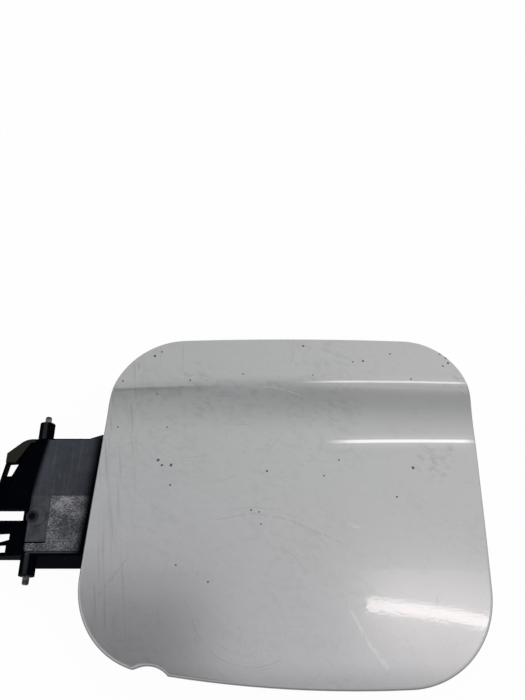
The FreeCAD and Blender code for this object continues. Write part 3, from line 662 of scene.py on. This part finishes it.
@dataclass(frozen=True)
class BodyPaint(Finish):
    """Silver metallic paint under clear lacquer, with chips, wipe marks and fine scratches, painted highlights
    along its ridges and painted shade in its hollow and on its edge.
    """

    title: str = "worn_silver_body_paint"
    silver: Colour = srgb(181, 180, 184)
    aged: Colour = srgb(177, 180, 177)
    dull: Colour = srgb(170, 171, 173)
    # Darker tone for the painted shade in the hollow, the darker bottom edge and the dirt marks
    dirt_and_painted_light: Colour = srgb(122, 123, 125)
    # Pale colour for pale scratches and for the painted highlight and painted reflection among the face lines
    pale: Colour = srgb(214, 214, 214)
    # Colour of the painted highlights along the crest and the crease
    painted_highlight: Colour = srgb(250, 250, 249)
    # Dark colour for chips, dark scratches and the painted shade on the turned edge
    grime_and_shade: Colour = srgb(62, 62, 60)
    chips: tuple[Mark, ...] = STONE_CHIPS
    # Scratches, with one painted highlight and one painted reflection among the pale lines
    scratches: tuple[FaceLine, ...] = FACE_LINES
    smudges: tuple[Mark, ...] = SMUDGES
    flake_scale: float = 5200.0
    mottle_scale: float = 24.0
    pale_share: float = 0.24
    dark_share: float = 0.22
    rim_shade_share: float = 0.85
    rim_span: Span = (0.6, 0.94)
    # How dark the band along the bottom edge gets
    hem_darkening: float = 0.4
    streak_share: float = 0.28
    haze_span: Span = (0.4, 0.65)
    line_rest: float = 0.25
    hollow_low: float = -0.013
    hollow_deep: float = 0.0085
    hollow_rise: float = 0.0086
    hollow_high: float = 0.0188
    hem_start: float = -0.106
    hem_end: float = -0.117
    wiped: tuple[Mark, ...] = (Mark(92.0, 32.0, 46.0), Mark(98.0, -84.0, 46.0), Mark(66.0, 16.0, 60.0))
    streaks_end: float = 0.052
    # Painted highlights: one along the crest and one along the crease
    painted_highlight_lines: tuple[HighlightLine, ...] = (
        HighlightLine(14.5, 116.0, 142.0, 0.7, 0.02), HighlightLine(-14.8, 129.0, 146.0, 1.0, 0.03, 0.5),
    )
    wiped_share: float = 0.34
    patch_shape: Shape = (1.0, 1.7, 1.0)
    patch_turn: float = 25.0
    patch_scale: float = 240.0
    patch_span: Span = (0.45, 0.7)
    smear_ragged: float = 0.9
    smear_share: float = 0.34
    glow_share: float = 0.14
    line_soft: float = 0.0006
    glow_soft: float = 0.004
    line_end: float = 0.2
    metallic: float = 0.64
    roughness: float = 0.22
    lacquer: float = 1.0
    lacquer_roughness: float = 0.03
    peel_scale: float = 900.0
    peel_depth: float = 0.000006

    def wire(self, graph: Graph, place: Socket, shader: bpy.types.Node) -> None:
        """Wires flake, the darker tone of painted shade and dirt, pale lines, painted highlights, scratches,
        chips and painted shade on the rim.

        Args:
            graph: The material's nodes.
            place: Where each point of the surface lies.
            shader: The material's shader.
        """
        flake = Grain.place(graph, place, Scale=self.flake_scale, Mottle=self.mottle_scale)
        up = graph.add("ShaderNodeSeparateXYZ", {0: place}).outputs[1]
        tint = graph.mix(graph.fade(up, self.hem_end, self.hollow_high), self.silver, self.aged)
        colour = graph.mix(graph.fade(flake.outputs["Fine"], *MOST_NOISE), self.dull, tint)
        # Painted shade in the hollow under the crest and a darker band along the bottom edge, together with
        # dirt marks
        colour = graph.mix(self.shade_and_dirt_mask(graph, place, flake.outputs["Broad"]), colour, self.dirt_and_painted_light)
        # Pale lines: a scratch, a painted highlight and a painted reflection
        paler = graph.product(self.strokes(graph, place, Tone.PALE), self.pale_share)
        colour = graph.mix(paler, colour, self.pale)
        # Painted highlights along the crest and the crease
        colour = graph.mix(self.paint_highlights(graph, place), colour, self.painted_highlight)
        stray = Scratches.place(graph, place, Scale=70.0, Share=0.16).outputs["Mask"]
        dark = graph.most(stray, graph.product(self.strokes(graph, place, Tone.DARK), self.dark_share))
        colour = graph.mix(dark, colour, self.grime_and_shade)
        colour = graph.mix(self.marks(graph, place), colour, self.grime_and_shade)
        # Painted shade on the edge where the metal turns over
        colour = graph.mix(graph.product(self.rim(graph), self.rim_shade_share), colour, self.grime_and_shade)
        graph.feed(shader.inputs["Base Color"], colour)
        shader.inputs["Metallic"].default_value = self.metallic
        shader.inputs["Roughness"].default_value = self.roughness
        shader.inputs["Coat Weight"].default_value = self.lacquer
        shader.inputs["Coat Roughness"].default_value = self.lacquer_roughness
        peel = graph.noise(place, self.peel_scale, detail=1.0)
        graph.feed(shader.inputs["Coat Normal"], graph.bump(peel, self.peel_depth))

    def shade_and_dirt_mask(self, graph: Graph, place: Source, broad: Source) -> Socket:
        """Marks the painted shade in the hollow under the crest, the darker band along the bottom edge, the
        wiped patches, the streaks, the smears and the haze.

        Args:
            graph: The material's nodes.
            place: Where each point of the surface lies.
            broad: Broad noise from 0 to 1.

        Returns:
            How much of the darker tone shows.
        """
        parts = graph.add("ShaderNodeSeparateXYZ", {0: place}).outputs
        rise = graph.fade(parts[1], self.hollow_low, self.hollow_deep)
        fall = graph.fade(parts[1], self.hollow_rise, self.hollow_high, 1.0, 0.0)
        # Painted shade: the hollow under the crest is darkened, more to the right than to the left
        hollow = graph.product(rise, fall, graph.fade(parts[0], 0.03, 0.14, 0.36, 0.8))
        # Darker towards the bottom edge
        low_edge = graph.fade(parts[1], self.hem_start, self.hem_end, 0.0, self.hem_darkening)
        wiped = [graph.product(patch.arcs(graph, place), self.wiped_share) for patch in self.wiped]
        lines = graph.noise(graph.stretch(place, (1.0, 0.04, 1.0), -8.0), 700.0, detail=2.0)
        side = graph.fade(parts[0], self.streaks_end - 0.012, self.streaks_end, 1.0, 0.0)
        streaks = graph.product(graph.fade(lines, 0.52, 0.68), side, self.streak_share)
        cells = graph.stretch(place, self.patch_shape, self.patch_turn)
        patchy = graph.fade(graph.noise(cells, self.patch_scale, detail=4.0), *self.patch_span)
        smears = [
            graph.product(smudge.spot(graph, place, self.smear_ragged), patchy, self.smear_share)
            for smudge in self.smudges
        ]
        haze = graph.product(graph.fade(broad, *self.haze_span), patchy)
        cloud = graph.product(haze, graph.fade(parts[1], -0.045, 0.02, 0.12, 0.19))
        marks = graph.most(streaks, cloud, *wiped, *smears)
        return graph.math("MINIMUM", graph.math("ADD", graph.most(hollow, low_edge), marks), 1.0)

    def paint_highlights(self, graph: Graph, place: Source) -> Socket:
        """Marks the painted highlights along the ridges, each a bright thread with a faint glow beside it.

        Args:
            graph: The material's nodes.
            place: Where each point of the surface lies.

        Returns:
            1 along a polished line and 0 beside it.
        """
        parts = graph.add("ShaderNodeSeparateXYZ", {0: place}).outputs
        lines = []
        for line in self.painted_highlight_lines:
            shine = graph.fade(parts[0], line.start * MILLIMETRE, line.bright * MILLIMETRE, 0.0, line.share)
            ended = graph.fade(parts[0], self.line_end - 0.006, self.line_end, 1.0, self.line_rest)
            rise = graph.product(graph.math("SUBTRACT", parts[0], line.bright * MILLIMETRE), line.lean)
            level = graph.math("SUBTRACT", parts[1], rise)
            height = line.up * MILLIMETRE
            half = line.half * MILLIMETRE
            thread = graph.band(level, height, half, self.line_soft)
            glow = graph.product(graph.band(level, height, half, self.glow_soft), self.glow_share)
            lines.append(graph.product(graph.most(thread, glow), shine, ended))
        return graph.most(*lines)

    def strokes(self, graph: Graph, place: Source, tone: Tone) -> Socket:
        """Marks the face lines of one tone: scratches, and among the pale ones a painted highlight and a
        painted reflection.

        Args:
            graph: The material's nodes.
            place: Where each point of the surface lies.
            tone: The tone to mark.

        Returns:
            1 on a scratch and 0 beside it.
        """
        masks = []
        for scratch in self.scratches:
            if scratch.tone is not tone:
                continue
            for start, end in zip(scratch.places, scratch.places[1:]):
                sizes = {"StartAcross": start[0], "StartUp": start[1], "EndAcross": end[0], "EndUp": end[1]}
                metres = {name: size * MILLIMETRE for name, size in sizes.items()}
                stroke = Stroke.place(graph, place, Width=scratch.width * MILLIMETRE, **metres)
                masks.append(stroke.outputs["Mask"])
        return graph.most(*masks)

    def marks(self, graph: Graph, place: Source) -> Socket:
        """Marks the stone chips and stray specks.

        Args:
            graph: The material's nodes.
            place: Where each point of the surface lies.

        Returns:
            1 on a mark and 0 beside it.
        """
        specks = Specks.place(graph, place, Scale=170.0, Share=0.04, Size=0.075).outputs["Mask"]
        return graph.most(specks, *(chip.spot(graph, place) for chip in self.chips))

    def rim(self, graph: Graph) -> Socket:
        """Marks where the metal turns over at its edge, which painted shade darkens.

        Args:
            graph: The material's nodes.

        Returns:
            1 on the edge and 0 on the face.
        """
        facing = graph.add("ShaderNodeTexCoord").outputs["Normal"]
        level = graph.math("ABSOLUTE", graph.add("ShaderNodeSeparateXYZ", {0: facing}).outputs[2])
        return graph.fade(level, *self.rim_span, 1.0, 0.0)


@dataclass(frozen=True)
class ArmPlastic(Finish):
    """Black moulded plastic: deep on its walls, with a painted sheen on its deck, and scuffed on its raised
    step.
    """

    title: str = "worn_arm_plastic"
    deep: Colour = srgb(3, 4, 9)
    # Painted sheen: a lighter colour on faces that look up, standing in for light on the black plastic
    dirt_and_painted_light: Colour = srgb(64, 67, 74)
    streaked: Colour = srgb(75, 78, 85)
    greyed: Colour = srgb(74, 75, 80)
    rubbed: Colour = srgb(58, 59, 64)
    scuffed: Colour = srgb(142, 143, 147)
    plate: Colour = srgb(44, 44, 40)
    ringed: Colour = srgb(26, 27, 31)
    hidden: Colour = srgb(36, 37, 40)
    dust: Colour = srgb(112, 108, 100)
    deck_low: float = 0.0031
    deck_high: float = 0.0035
    step_low: float = 0.0039
    step_high: float = 0.0041
    step_end: float = -0.0362
    step_start: float = 0.0073
    tongue_up: float = -0.0574
    bright_across: float = 0.0135
    bright_up: float = -0.0405
    plate_end: float = -0.004
    plate_up: float = -0.0235
    plate_height: float = 0.0024
    # The painted shadow under the panel's edge and the painted shade on the sloping nose
    edge_across: float = 0.0255
    edge_lean: float = 0.087
    edge_middle: float = -0.0365
    shade_width: float = 0.005
    nose_across: float = 0.0012
    nose_up: float = -0.01075
    nose_lean: float = 0.147
    nose_width: float = 0.003
    deck_middle: float = -0.03575
    deck_half: float = 0.0268
    # How much painted sheen the tops of the bosses get
    boss_sheen_share: float = 0.4
    ring_up: float = -0.04595
    ring_radius: float = 0.0029
    under_level: float = 0.0005
    under_start: float = 0.003
    under_half: float = 0.026
    under_covered: float = 0.03
    greyed_span: Span = (0.3, 0.6)
    flat_span: Span = (0.93, 0.99)
    scuff_span: Span = (0.42, 0.72)
    deck_thin: float = 0.7
    plate_share: float = 0.8
    ring_share: float = 0.8
    bright_radius: float = 0.0032
    bright_ragged: float = 0.8
    roughness: Span = (0.5, 0.66)
    gloss: float = 0.004
    grain_depth: float = 0.00003

    def wire(self, graph: Graph, place: Socket, shader: bpy.types.Node) -> None:
        """Wires grain, the painted sheen on the deck with its streaks, painted shade at the deck's ends,
        scuffs and the dust underneath.

        Args:
            graph: The material's nodes.
            place: Where each point of the surface lies.
            shader: The material's shader.
        """
        grain = Grain.place(graph, place, Scale=2200.0, Mottle=140.0)
        parts = graph.add("ShaderNodeSeparateXYZ", {0: place}).outputs
        facing = graph.add("ShaderNodeTexCoord").outputs["Normal"]
        # Painted sheen: faces that look up, on the deck and the bosses' tops, are lighter than the walls
        flat = graph.fade(graph.add("ShaderNodeSeparateXYZ", {0: facing}).outputs[2], *self.flat_span)
        between = graph.band(parts[1], self.deck_middle, self.deck_half, 0.0003)
        beyond = graph.product(graph.math("SUBTRACT", 1.0, between), self.boss_sheen_share)
        cover = graph.most(graph.product(between, self.unshaded_deck(graph, parts)), beyond)
        deck = graph.product(flat, graph.fade(parts[2], self.deck_low, self.deck_high), cover)
        uneven = graph.fade(grain.outputs["Broad"], *MOST_NOISE, self.deck_thin, 1.0)
        lines = graph.fade(graph.noise(graph.stretch(place, (1.0, 0.06, 1.0)), 1300.0), 0.5, 0.75)
        dirt_and_painted_light = graph.mix(lines, self.dirt_and_painted_light, self.streaked)
        lower = graph.fade(parts[1], self.step_end - 0.0004, self.step_end, 1.0, 0.0)
        dulled = graph.product(lower, graph.fade(grain.outputs["Broad"], *self.greyed_span))
        dirt_and_painted_light = graph.mix(dulled, dirt_and_painted_light, self.greyed)
        plate = graph.product(flat, graph.math("GREATER_THAN", parts[1], self.plate_up),
                              graph.math("LESS_THAN", parts[0], self.plate_end),
                              graph.math("GREATER_THAN", parts[2], self.plate_height))
        colour = graph.mix(graph.product(plate, self.plate_share), self.deep, self.plate)
        # Painted sheen over the deep black, kept off the painted shade at the deck's ends
        colour = graph.mix(graph.product(deck, uneven), colour, dirt_and_painted_light)
        worn = graph.mix(self.wear(graph, place, grain.outputs["Broad"]), self.rubbed, self.scuffed)
        colour = graph.mix(graph.product(deck, self.step(graph, parts)), colour, worn)
        ring = Spot.place(graph, place, Up=self.ring_up, Radius=self.ring_radius, Ragged=0.1).outputs["Mask"]
        colour = graph.mix(graph.product(ring, self.ring_share), colour, self.ringed)
        dust = Dust.place(graph, place, Scale=90.0, Amount=0.35).outputs["Mask"]
        colour = graph.mix(self.underside(graph, parts), colour, graph.mix(dust, self.hidden, self.dust))
        graph.feed(shader.inputs["Base Color"], colour)
        rough = graph.fade(grain.outputs["Fine"], *MOST_NOISE, *self.roughness)
        graph.feed(shader.inputs["Roughness"], rough)
        shader.inputs["Specular IOR Level"].default_value = self.gloss
        graph.feed(shader.inputs["Normal"], graph.bump(grain.outputs["Fine"], self.grain_depth))

    def unshaded_deck(self, graph: Graph, parts: Parts) -> Socket:
        """Marks the deck outside its painted shade: a painted shadow under the panel's edge and painted shade
        on the sloping nose.

        Args:
            graph: The material's nodes.
            parts: The place's X, Y and Z.

        Returns:
            1 on the deck, falling to 0 in the painted shade at both ends.
        """
        lean = graph.product(graph.math("SUBTRACT", parts[1], self.edge_middle), self.edge_lean)
        reach = graph.math("SUBTRACT", parts[0], lean)
        edge = graph.fade(reach, self.edge_across - self.shade_width, self.edge_across, 1.0, 0.0)
        slant = graph.product(graph.math("SUBTRACT", parts[1], self.nose_up), self.nose_lean)
        inward = graph.math("SUBTRACT", parts[0], slant)
        return graph.product(edge, graph.fade(inward, self.nose_across, self.nose_across + self.nose_width))

    def underside(self, graph: Graph, parts: Parts) -> Socket:
        """Marks the ribbed side under the deck and what lies behind the panel.

        Args:
            graph: The material's nodes.
            parts: The place's X, Y and Z.

        Returns:
            1 on the ribbed side and 0 elsewhere.
        """
        low = graph.math("LESS_THAN", parts[2], self.under_level)
        inward = graph.math("GREATER_THAN", parts[0], self.under_start)
        inside = graph.band(parts[1], self.deck_middle, self.under_half, 0.0002)
        covered = graph.math("GREATER_THAN", parts[0], self.under_covered)
        return graph.product(low, inward, graph.most(inside, covered))

    def step(self, graph: Graph, parts: Parts) -> Socket:
        """Marks the raised step and its tongue.

        Args:
            graph: The material's nodes.
            parts: The place's X, Y and Z.

        Returns:
            1 on the step and 0 elsewhere.
        """
        along = graph.most(graph.math("GREATER_THAN", parts[0], self.step_start),
                           graph.math("LESS_THAN", parts[1], self.tongue_up))
        return graph.product(graph.fade(parts[2], self.step_low, self.step_high), along,
                             graph.math("LESS_THAN", parts[1], self.step_end))

    def wear(self, graph: Graph, place: Source, broad: Source) -> Socket:
        """Marks the scuffs, densest at one spot of the step.

        Args:
            graph: The material's nodes.
            place: Where each point of the surface lies.
            broad: Broad noise from 0 to 1.

        Returns:
            1 on a scuff and 0 beside it.
        """
        scratches = Scratches.place(graph, place, Scale=170.0, Share=0.7).outputs["Mask"]
        marks = graph.noise(graph.stretch(place, (1.0, 1.5, 1.0)), 950.0, detail=5.0, roughness=0.75)
        sizes = {"Across": self.bright_across, "Up": self.bright_up, "Radius": self.bright_radius}
        dense = Spot.place(graph, place, Ragged=self.bright_ragged, **sizes)
        lift = graph.math("ADD", graph.product(graph.math("SUBTRACT", broad, 0.5), 0.5),
                          graph.product(dense.outputs["Mask"], 0.05))
        return graph.most(graph.fade(graph.math("ADD", marks, lift), *self.scuff_span), scratches)


@dataclass(frozen=True)
class Moulding(Finish):
    """A moulded plastic, rubber or mastic with grain and dust."""

    title: str
    deep: Colour
    worn: Colour
    roughness: float
    dust: Colour = srgb(120, 118, 112)
    dust_amount: float = 0.25
    grain_scale: float = 2200.0
    grain_depth: float = 0.00004

    def wire(self, graph: Graph, place: Socket, shader: bpy.types.Node) -> None:
        """Wires grain, worn patches and dust.

        Args:
            graph: The material's nodes.
            place: Where each point of the surface lies.
            shader: The material's shader.
        """
        grain = Grain.place(graph, place, Scale=self.grain_scale, Mottle=90.0)
        dust = Dust.place(graph, place, Scale=70.0, Amount=self.dust_amount).outputs["Mask"]
        colour = graph.mix(graph.fade(grain.outputs["Broad"], 0.4, 0.75), self.deep, self.worn)
        graph.feed(shader.inputs["Base Color"], graph.mix(dust, colour, self.dust))
        rough = graph.fade(grain.outputs["Broad"], *MOST_NOISE, self.roughness - 0.06, self.roughness + 0.1)
        graph.feed(shader.inputs["Roughness"], rough)
        graph.feed(shader.inputs["Normal"], graph.bump(grain.outputs["Fine"], self.grain_depth))


@dataclass(frozen=True)
class PlatedSteel(Finish):
    """Zinc-plated steel with a slight green cast, dulled and scratched."""

    title: str = "worn_plated_steel"
    zinc: Colour = srgb(150, 158, 150)
    stain: Colour = srgb(70, 76, 70)
    roughness: float = 0.3

    def wire(self, graph: Graph, place: Socket, shader: bpy.types.Node) -> None:
        """Wires stains and scratches.

        Args:
            graph: The material's nodes.
            place: Where each point of the surface lies.
            shader: The material's shader.
        """
        grain = Grain.place(graph, place, Scale=1500.0, Mottle=260.0)
        scratches = Scratches.place(graph, place, Scale=300.0, Share=0.6).outputs["Mask"]
        stains = graph.fade(grain.outputs["Broad"], 0.45, 0.7)
        colour = graph.mix(stains, self.zinc, self.stain)
        graph.feed(shader.inputs["Base Color"], graph.mix(scratches, colour, self.stain))
        rough = graph.fade(grain.outputs["Fine"], *MOST_NOISE, self.roughness, self.roughness + 0.2)
        graph.feed(shader.inputs["Roughness"], rough)
        shader.inputs["Metallic"].default_value = 1.0


@dataclass(frozen=True)
class InnerPaint(Finish):
    """The thinner paint on the hidden side: primer grey dusted over with silver."""

    title: str = "worn_inner_paint"
    primer: Colour = srgb(140, 142, 142)
    overspray: Colour = srgb(166, 168, 168)
    dust: Colour = srgb(140, 132, 118)
    metallic: float = 0.4
    roughness: Span = (0.42, 0.58)
    grain_depth: float = 0.00002

    def wire(self, graph: Graph, place: Socket, shader: bpy.types.Node) -> None:
        """Wires overspray and road dust.

        Args:
            graph: The material's nodes.
            place: Where each point of the surface lies.
            shader: The material's shader.
        """
        grain = Grain.place(graph, place, Scale=2600.0, Mottle=30.0)
        dust = Dust.place(graph, place, Scale=40.0, Amount=0.3).outputs["Mask"]
        colour = graph.mix(graph.fade(grain.outputs["Broad"], 0.2, 0.8), self.primer, self.overspray)
        graph.feed(shader.inputs["Base Color"], graph.mix(dust, colour, self.dust))
        shader.inputs["Metallic"].default_value = self.metallic
        graph.feed(shader.inputs["Roughness"], graph.fade(grain.outputs["Fine"], *MOST_NOISE, *self.roughness))
        graph.feed(shader.inputs["Normal"], graph.bump(grain.outputs["Fine"], self.grain_depth))


ARM_PLASTIC = ArmPlastic()
STRIKER_PLASTIC = Moulding("worn_striker_plastic", srgb(20, 20, 21), srgb(52, 52, 53), roughness=0.5)
BUFFER_RUBBER = Moulding("worn_buffer_rubber", srgb(22, 22, 22), srgb(46, 45, 44), roughness=0.72,
                         dust_amount=0.5)
MASTIC = Moulding("set_mastic", srgb(70, 66, 58), srgb(98, 92, 80), roughness=0.85)
BODY_PAINT = BodyPaint()
PLATED_STEEL = PlatedSteel()
PIN_STEEL = PlatedSteel(title="worn_pin_steel", zinc=srgb(104, 111, 107), stain=srgb(30, 35, 34))
INNER_PAINT = InnerPaint()


def dress(node: str, finish: Finish) -> None:
    """Gives a node its finish.

    Args:
        node: The node's name.
        finish: The finish for all of its faces.
    """
    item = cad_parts[node]
    for slot in item.material_slots:
        slot.material = finish.material()
    LOG.info("%s wears %s", node, finish.title)


@dataclass
class PaintedPanel:
    """The pressed outer skin, the inner that it is hemmed round, and the dabs between them."""

    skin: str = "outer_skin"
    inner: str = "inner_panel"
    dabs: str = "mastic_dabs"

    def dress(self) -> None:
        """Paints both pressings and gives the dabs their mastic."""
        dress(self.skin, BODY_PAINT)
        dress(self.inner, INNER_PAINT)
        dress(self.dabs, MASTIC)


@dataclass
class HingeArm:
    """The moulded arm and the pin that it swings about."""

    arm: str = "hinge_arm"
    pin: str = "hinge_pin"

    def dress(self) -> None:
        """Gives the arm its plastic and the pin its plating."""
        dress(self.arm, ARM_PLASTIC)
        dress(self.pin, PIN_STEEL)


@dataclass
class Fasteners:
    """What holds the arm to the flap, and the striker's rivets."""

    nodes: tuple[str, ...] = ("arm_screws", "weld_nuts", "backing_plate", "striker_rivets")

    def dress(self) -> None:
        """Plates every fastener."""
        for node in self.nodes:
            dress(node, PLATED_STEEL)


@dataclass
class FreeEdge:
    """The latch striker and the rubber buffers at the edge away from the hinge."""

    striker: str = "latch_striker"
    buffers: tuple[str, ...] = ("upper_buffer", "lower_buffer")

    def dress(self) -> None:
        """Gives the striker its plastic and the buffers their rubber."""
        dress(self.striker, STRIKER_PLASTIC)
        for buffer in self.buffers:
            dress(buffer, BUFFER_RUBBER)


@dataclass(frozen=True)
class StripLamp:
    """A long thin ceiling lamp, which the lacquer mirrors."""

    name: str = "near_strip"
    middle: Shape = (0.76, 0.0, 1.2)
    length: float = 0.72
    width: float = 0.025
    radiance: float = 7.5
    turn: float = -2.6
    tint: Shape = (1.0, 0.93, 0.88)

    def build(self) -> None:
        """Hangs the lamp, facing down."""
        lamp = bpy.data.lights.new(self.name, "AREA")
        lamp.shape = "RECTANGLE"
        lamp.size = self.length
        lamp.size_y = self.width
        lamp.energy = self.radiance * math.pi * self.length * self.width
        lamp.color = self.tint
        item = bpy.data.objects.new(self.name, lamp)
        item.location = self.middle
        item.rotation_euler = (0.0, 0.0, math.radians(self.turn))
        bpy.context.scene.collection.objects.link(item)


@dataclass
class Studio:
    """The white floor, the lamp, the room's light and the camera."""

    floor_size: float = 12.0
    floor_drop: float = 0.0003
    floor_colour: Colour = (0.92, 0.92, 0.92, 1.0)
    floor_glow: float = 0.96
    white: Colour = (1.0, 1.0, 1.0, 1.0)
    room_left: Colour = (0.82, 0.82, 0.83, 1.0)
    room_right: Colour = (1.06, 1.05, 1.04, 1.0)
    room_span: Span = (-0.45, 0.45)
    dark: Colour = (0.02, 0.02, 0.022, 1.0)
    dark_left: Span = (-0.24, -0.08)
    dark_near: Span = (0.065, 0.125)
    dark_high: Span = (0.7, 0.85)
    lamp: StripLamp = StripLamp()
    camera_place: Shape = (0.1025, -0.13825, 0.3330)
    camera_tilt: float = 28.18
    lens: float = 38.57
    sensor: float = 36.0

    def build(self) -> None:
        """Builds floor, room, lamp and camera."""
        self.build_floor()
        self.build_room()
        self.lamp.build()
        self.build_camera()

    def build_floor(self) -> None:
        """Lays the floor just under the lowest point of the part."""
        mesh = bpy.data.meshes.new("floor")
        shape = bmesh.new()
        bmesh.ops.create_grid(shape, x_segments=1, y_segments=1, size=self.floor_size / 2)
        shape.to_mesh(mesh)
        shape.free()
        floor = bpy.data.objects.new("floor", mesh)
        floor.location.z = CAD_BOX[0][2] - self.floor_drop
        bpy.context.scene.collection.objects.link(floor)
        floor.data.materials.append(self.floor_material())

    def floor_material(self) -> bpy.types.Material:
        """Makes a floor that stays white to the eye and still takes a soft shadow.

        Returns:
            The material.
        """
        material = bpy.data.materials.new("white_floor")
        material.use_nodes = True
        material.node_tree.nodes.clear()
        graph = Graph(material.node_tree)
        light = graph.add("ShaderNodeLightPath").outputs
        seen = graph.most(light["Is Camera Ray"], light["Is Glossy Ray"], light["Is Transmission Ray"])
        matt = graph.add("ShaderNodeBsdfDiffuse", {"Color": self.floor_colour})
        glow = graph.add("ShaderNodeEmission", {"Color": self.white, "Strength": 1.0})
        inputs = {0: graph.product(seen, self.floor_glow), 1: matt.outputs[0], 2: glow.outputs[0]}
        both = graph.add("ShaderNodeMixShader", inputs)
        graph.add("ShaderNodeOutputMaterial", {"Surface": both.outputs[0]})
        return material

    def build_room(self) -> None:
        """Lights the part from all round, paler to the right and dark overhead on the near left."""
        world = bpy.data.worlds.new("room")
        world.use_nodes = True
        world.node_tree.nodes.clear()
        graph = Graph(world.node_tree)
        heading = graph.add("ShaderNodeTexCoord").outputs["Generated"]
        parts = graph.add("ShaderNodeSeparateXYZ", {0: heading}).outputs
        colour = graph.mix(graph.fade(parts[0], *self.room_span), self.room_left, self.room_right)
        left = graph.fade(parts[0], *self.dark_left, 1.0, 0.0)
        near = graph.fade(parts[1], *self.dark_near, 1.0, 0.0)
        high = graph.fade(parts[2], *self.dark_high)
        colour = graph.mix(graph.product(left, near, high), colour, self.dark)
        seen = graph.add("ShaderNodeLightPath").outputs["Is Camera Ray"]
        colour = graph.mix(seen, colour, self.white)
        shell = graph.add("ShaderNodeBackground", {"Color": colour, "Strength": 1.0})
        graph.add("ShaderNodeOutputWorld", {"Surface": shell.outputs[0]})
        bpy.context.scene.world = world

    def build_camera(self) -> None:
        """Sets the camera at the viewing angle of the picture."""
        camera = bpy.data.cameras.new("camera")
        camera.lens = self.lens
        camera.sensor_width = self.sensor
        camera.sensor_fit = "AUTO"
        camera.clip_start = 0.01
        item = bpy.data.objects.new("camera", camera)
        item.location = self.camera_place
        item.rotation_euler = (math.radians(self.camera_tilt), 0.0, 0.0)
        bpy.context.scene.collection.objects.link(item)
        bpy.context.scene.camera = item
        bpy.context.scene.view_settings.view_transform = "Standard"


def main() -> None:
    """Dresses every piece and sets up the studio."""
    logging.basicConfig(level=logging.INFO, format="%(message)s")
    for assembly in (PaintedPanel(), HingeArm(), Fasteners(), FreeEdge()):
        assembly.dress()
    Studio().build()


if __name__ == "__main__":
    main()
